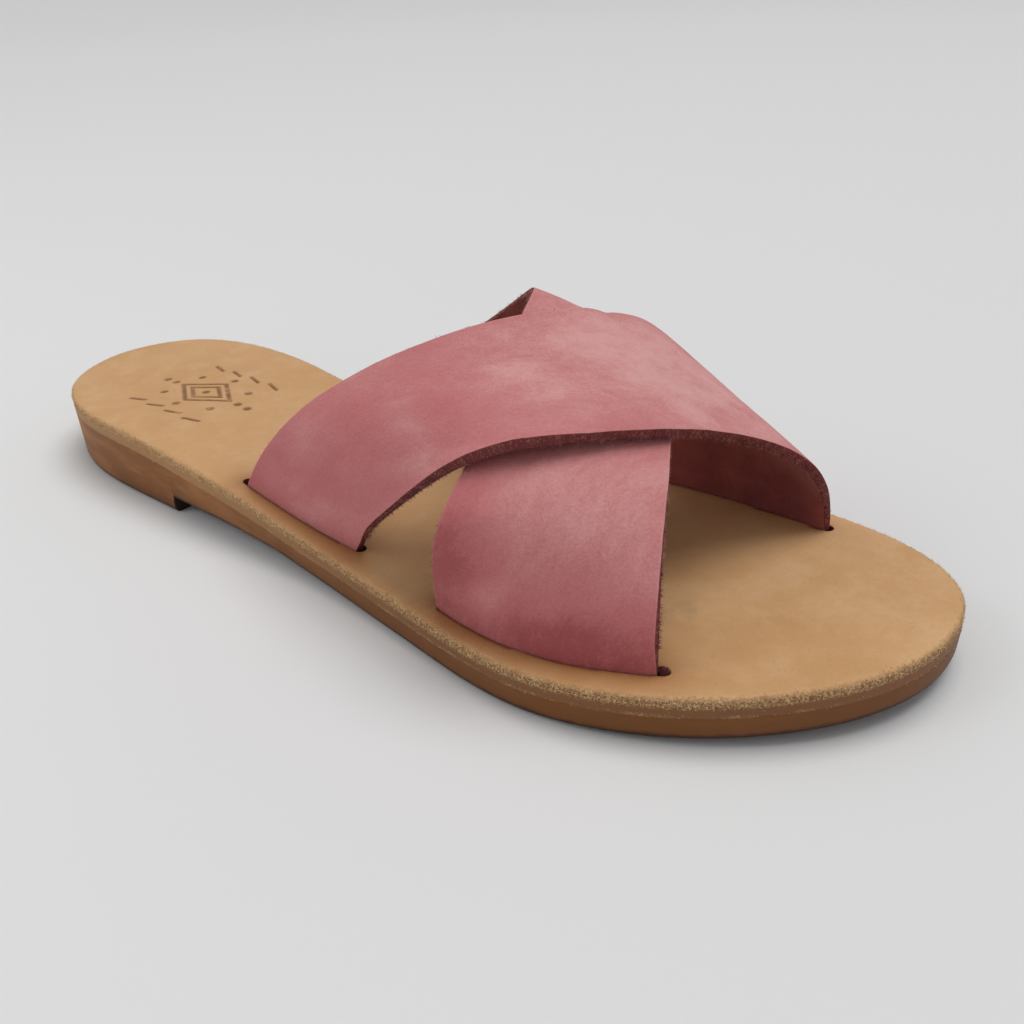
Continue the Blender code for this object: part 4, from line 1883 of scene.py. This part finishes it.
# Smudges in the nubuck, together with painted light: the broad pale clouds on the crest and towards the toe
# are a painted highlight.
OVER_SMUDGES_AND_PAINTED_LIGHT = (
    Cloud(29.0, 0.19, 12.0, 4.5, -37.0, 0.24),
    Cloud(51.5, 0.62, 13.0, 4.5, 106.0, 0.28),
    Cloud(44.0, 0.86, 10.0, 5.0, 10.0, 0.20),
    Cloud(78.5, 0.60, 12.0, 6.0, 70.0, 0.32),
    Cloud(92.0, 0.15, 14.0, 6.0, 5.0, 0.16),
    Cloud(84.0, 0.35, 30.0, 22.0, 0.0, 0.30),
    Cloud(116.0, 0.62, 26.0, 26.0, 20.0, 0.74),
    Cloud(8.0, 0.75, 9.0, 12.0, 0.0, 0.20),
    Cloud(20.0, 0.45, 12.0, 8.0, 0.0, -0.20),
    Cloud(60.0, 0.60, 7.0, 6.0, 80.0, -0.20),
)
OVER_WRINKLES = (
    Cloud(112.0, 0.68, 8.0, 6.0, 20.0, 0.8),
    Cloud(24.0, 0.75, 10.0, 8.0, 0.0, 0.25),
)
OVER_RIBS = (
    Cloud(109.0, 0.10, 6.0, 6.0, 0.0, 1.0),
    Cloud(113.0, 0.36, 4.0, 5.0, 0.0, 0.6),
    Cloud(90.0, 0.03, 6.0, 2.5, 0.0, 0.7),
)
OVER_CURLS = (Curl(3.0, 74.0, 1.0, 4.5),)
UNDER_CURLS = (Curl(-8.0, 34.0, 0.8, 4.0),)
UNDER_FOLDS = (
    Fold((12.0, 0.2), (30.0, 0.35), -0.25, 5.0),
    Fold((8.0, 0.6), (26.0, 0.75), 0.2, 5.0),
)
# Smudges in the nubuck, together with painted light: the broad pale clouds are a painted highlight, and the
# deep clouds low on the outer part are painted shade where the over strap shades this one.
UNDER_SMUDGES_AND_PAINTED_LIGHT = (
    Cloud(14.0, 0.28, 5.0, 4.0, 0.0, 0.35),
    Cloud(28.0, 0.95, 20.0, 9.0, 0.0, 0.22),
    Cloud(34.0, 0.62, 20.0, 18.0, 0.0, 0.50),
    Cloud(36.0, 0.25, 9.0, 6.0, 0.0, 0.10),
    Cloud(7.0, 0.70, 6.0, 20.0, 0.0, -0.80),
    Cloud(20.0, 0.05, 14.0, 10.0, 0.0, -0.80),
    Cloud(12.0, 0.60, 12.0, 20.0, 0.0, -0.30),
    Cloud(88.0, 0.35, 20.0, 24.0, 0.0, 0.50),
)
UNDER_WRINKLES = (
    Cloud(22.0, 0.25, 12.0, 10.0, 0.0, 0.9),
    Cloud(12.0, 0.62, 7.0, 9.0, 0.0, 0.5),
)
BED_NAP = Fuzz(9000, (0.25, 0.7), 0.06, StrayFibre((0.86, 0.60, 0.34), (0.50, 0.28, 0.12)))
STRAP_FRAY = Fuzz(1900, (0.4, 1.2), 0.085, StrayFibre((0.22, 0.055, 0.055), (0.48, 0.20, 0.18)))
TUCKED_EDGE = CutEdge((0.085, 0.018, 0.020), (0.240, 0.070, 0.066))
NAP_SEED = 11
FRAY_SEED = 20


def main() -> None:
    """Builds the sandal's pieces and the studio."""
    logging.basicConfig(level=logging.INFO, format="%(name)s: %(message)s")
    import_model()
    pattern = SolePattern()
    over = Strap(
        "over_strap",
        OVER_LINES,
        pattern,
        OVER_FOLDS,
        OVER_SMUDGES_AND_PAINTED_LIGHT,
        OVER_WRINKLES,
        OVER_RIBS,
        OVER_CURLS,
        slot_ends=((1.0, 0.1), (0.1, 0.1)),
        lean=0.75,
    )
    under = Strap(
        "under_strap",
        UNDER_LINES,
        pattern,
        UNDER_FOLDS,
        UNDER_SMUDGES_AND_PAINTED_LIGHT,
        UNDER_WRINKLES,
        curls=UNDER_CURLS,
        slot_ends=((-1.2, 1.0), (0.1, 0.1)),
    )
    Studio().build()
    SoleUnit(pattern).build(MouldedUnit())
    bed = FootBed(pattern, (over, under))
    bed.build(TannedLeather())
    bed.nap(BED_NAP, NAP_SEED)
    for seed, strap in enumerate((over, under), FRAY_SEED):
        strap.build(Nubuck(), FleshSide(), CutEdge())
        strap.fray(STRAP_FRAY, seed)
    under.tuck(TUCKED_EDGE)


if __name__ == "__main__":
    main()
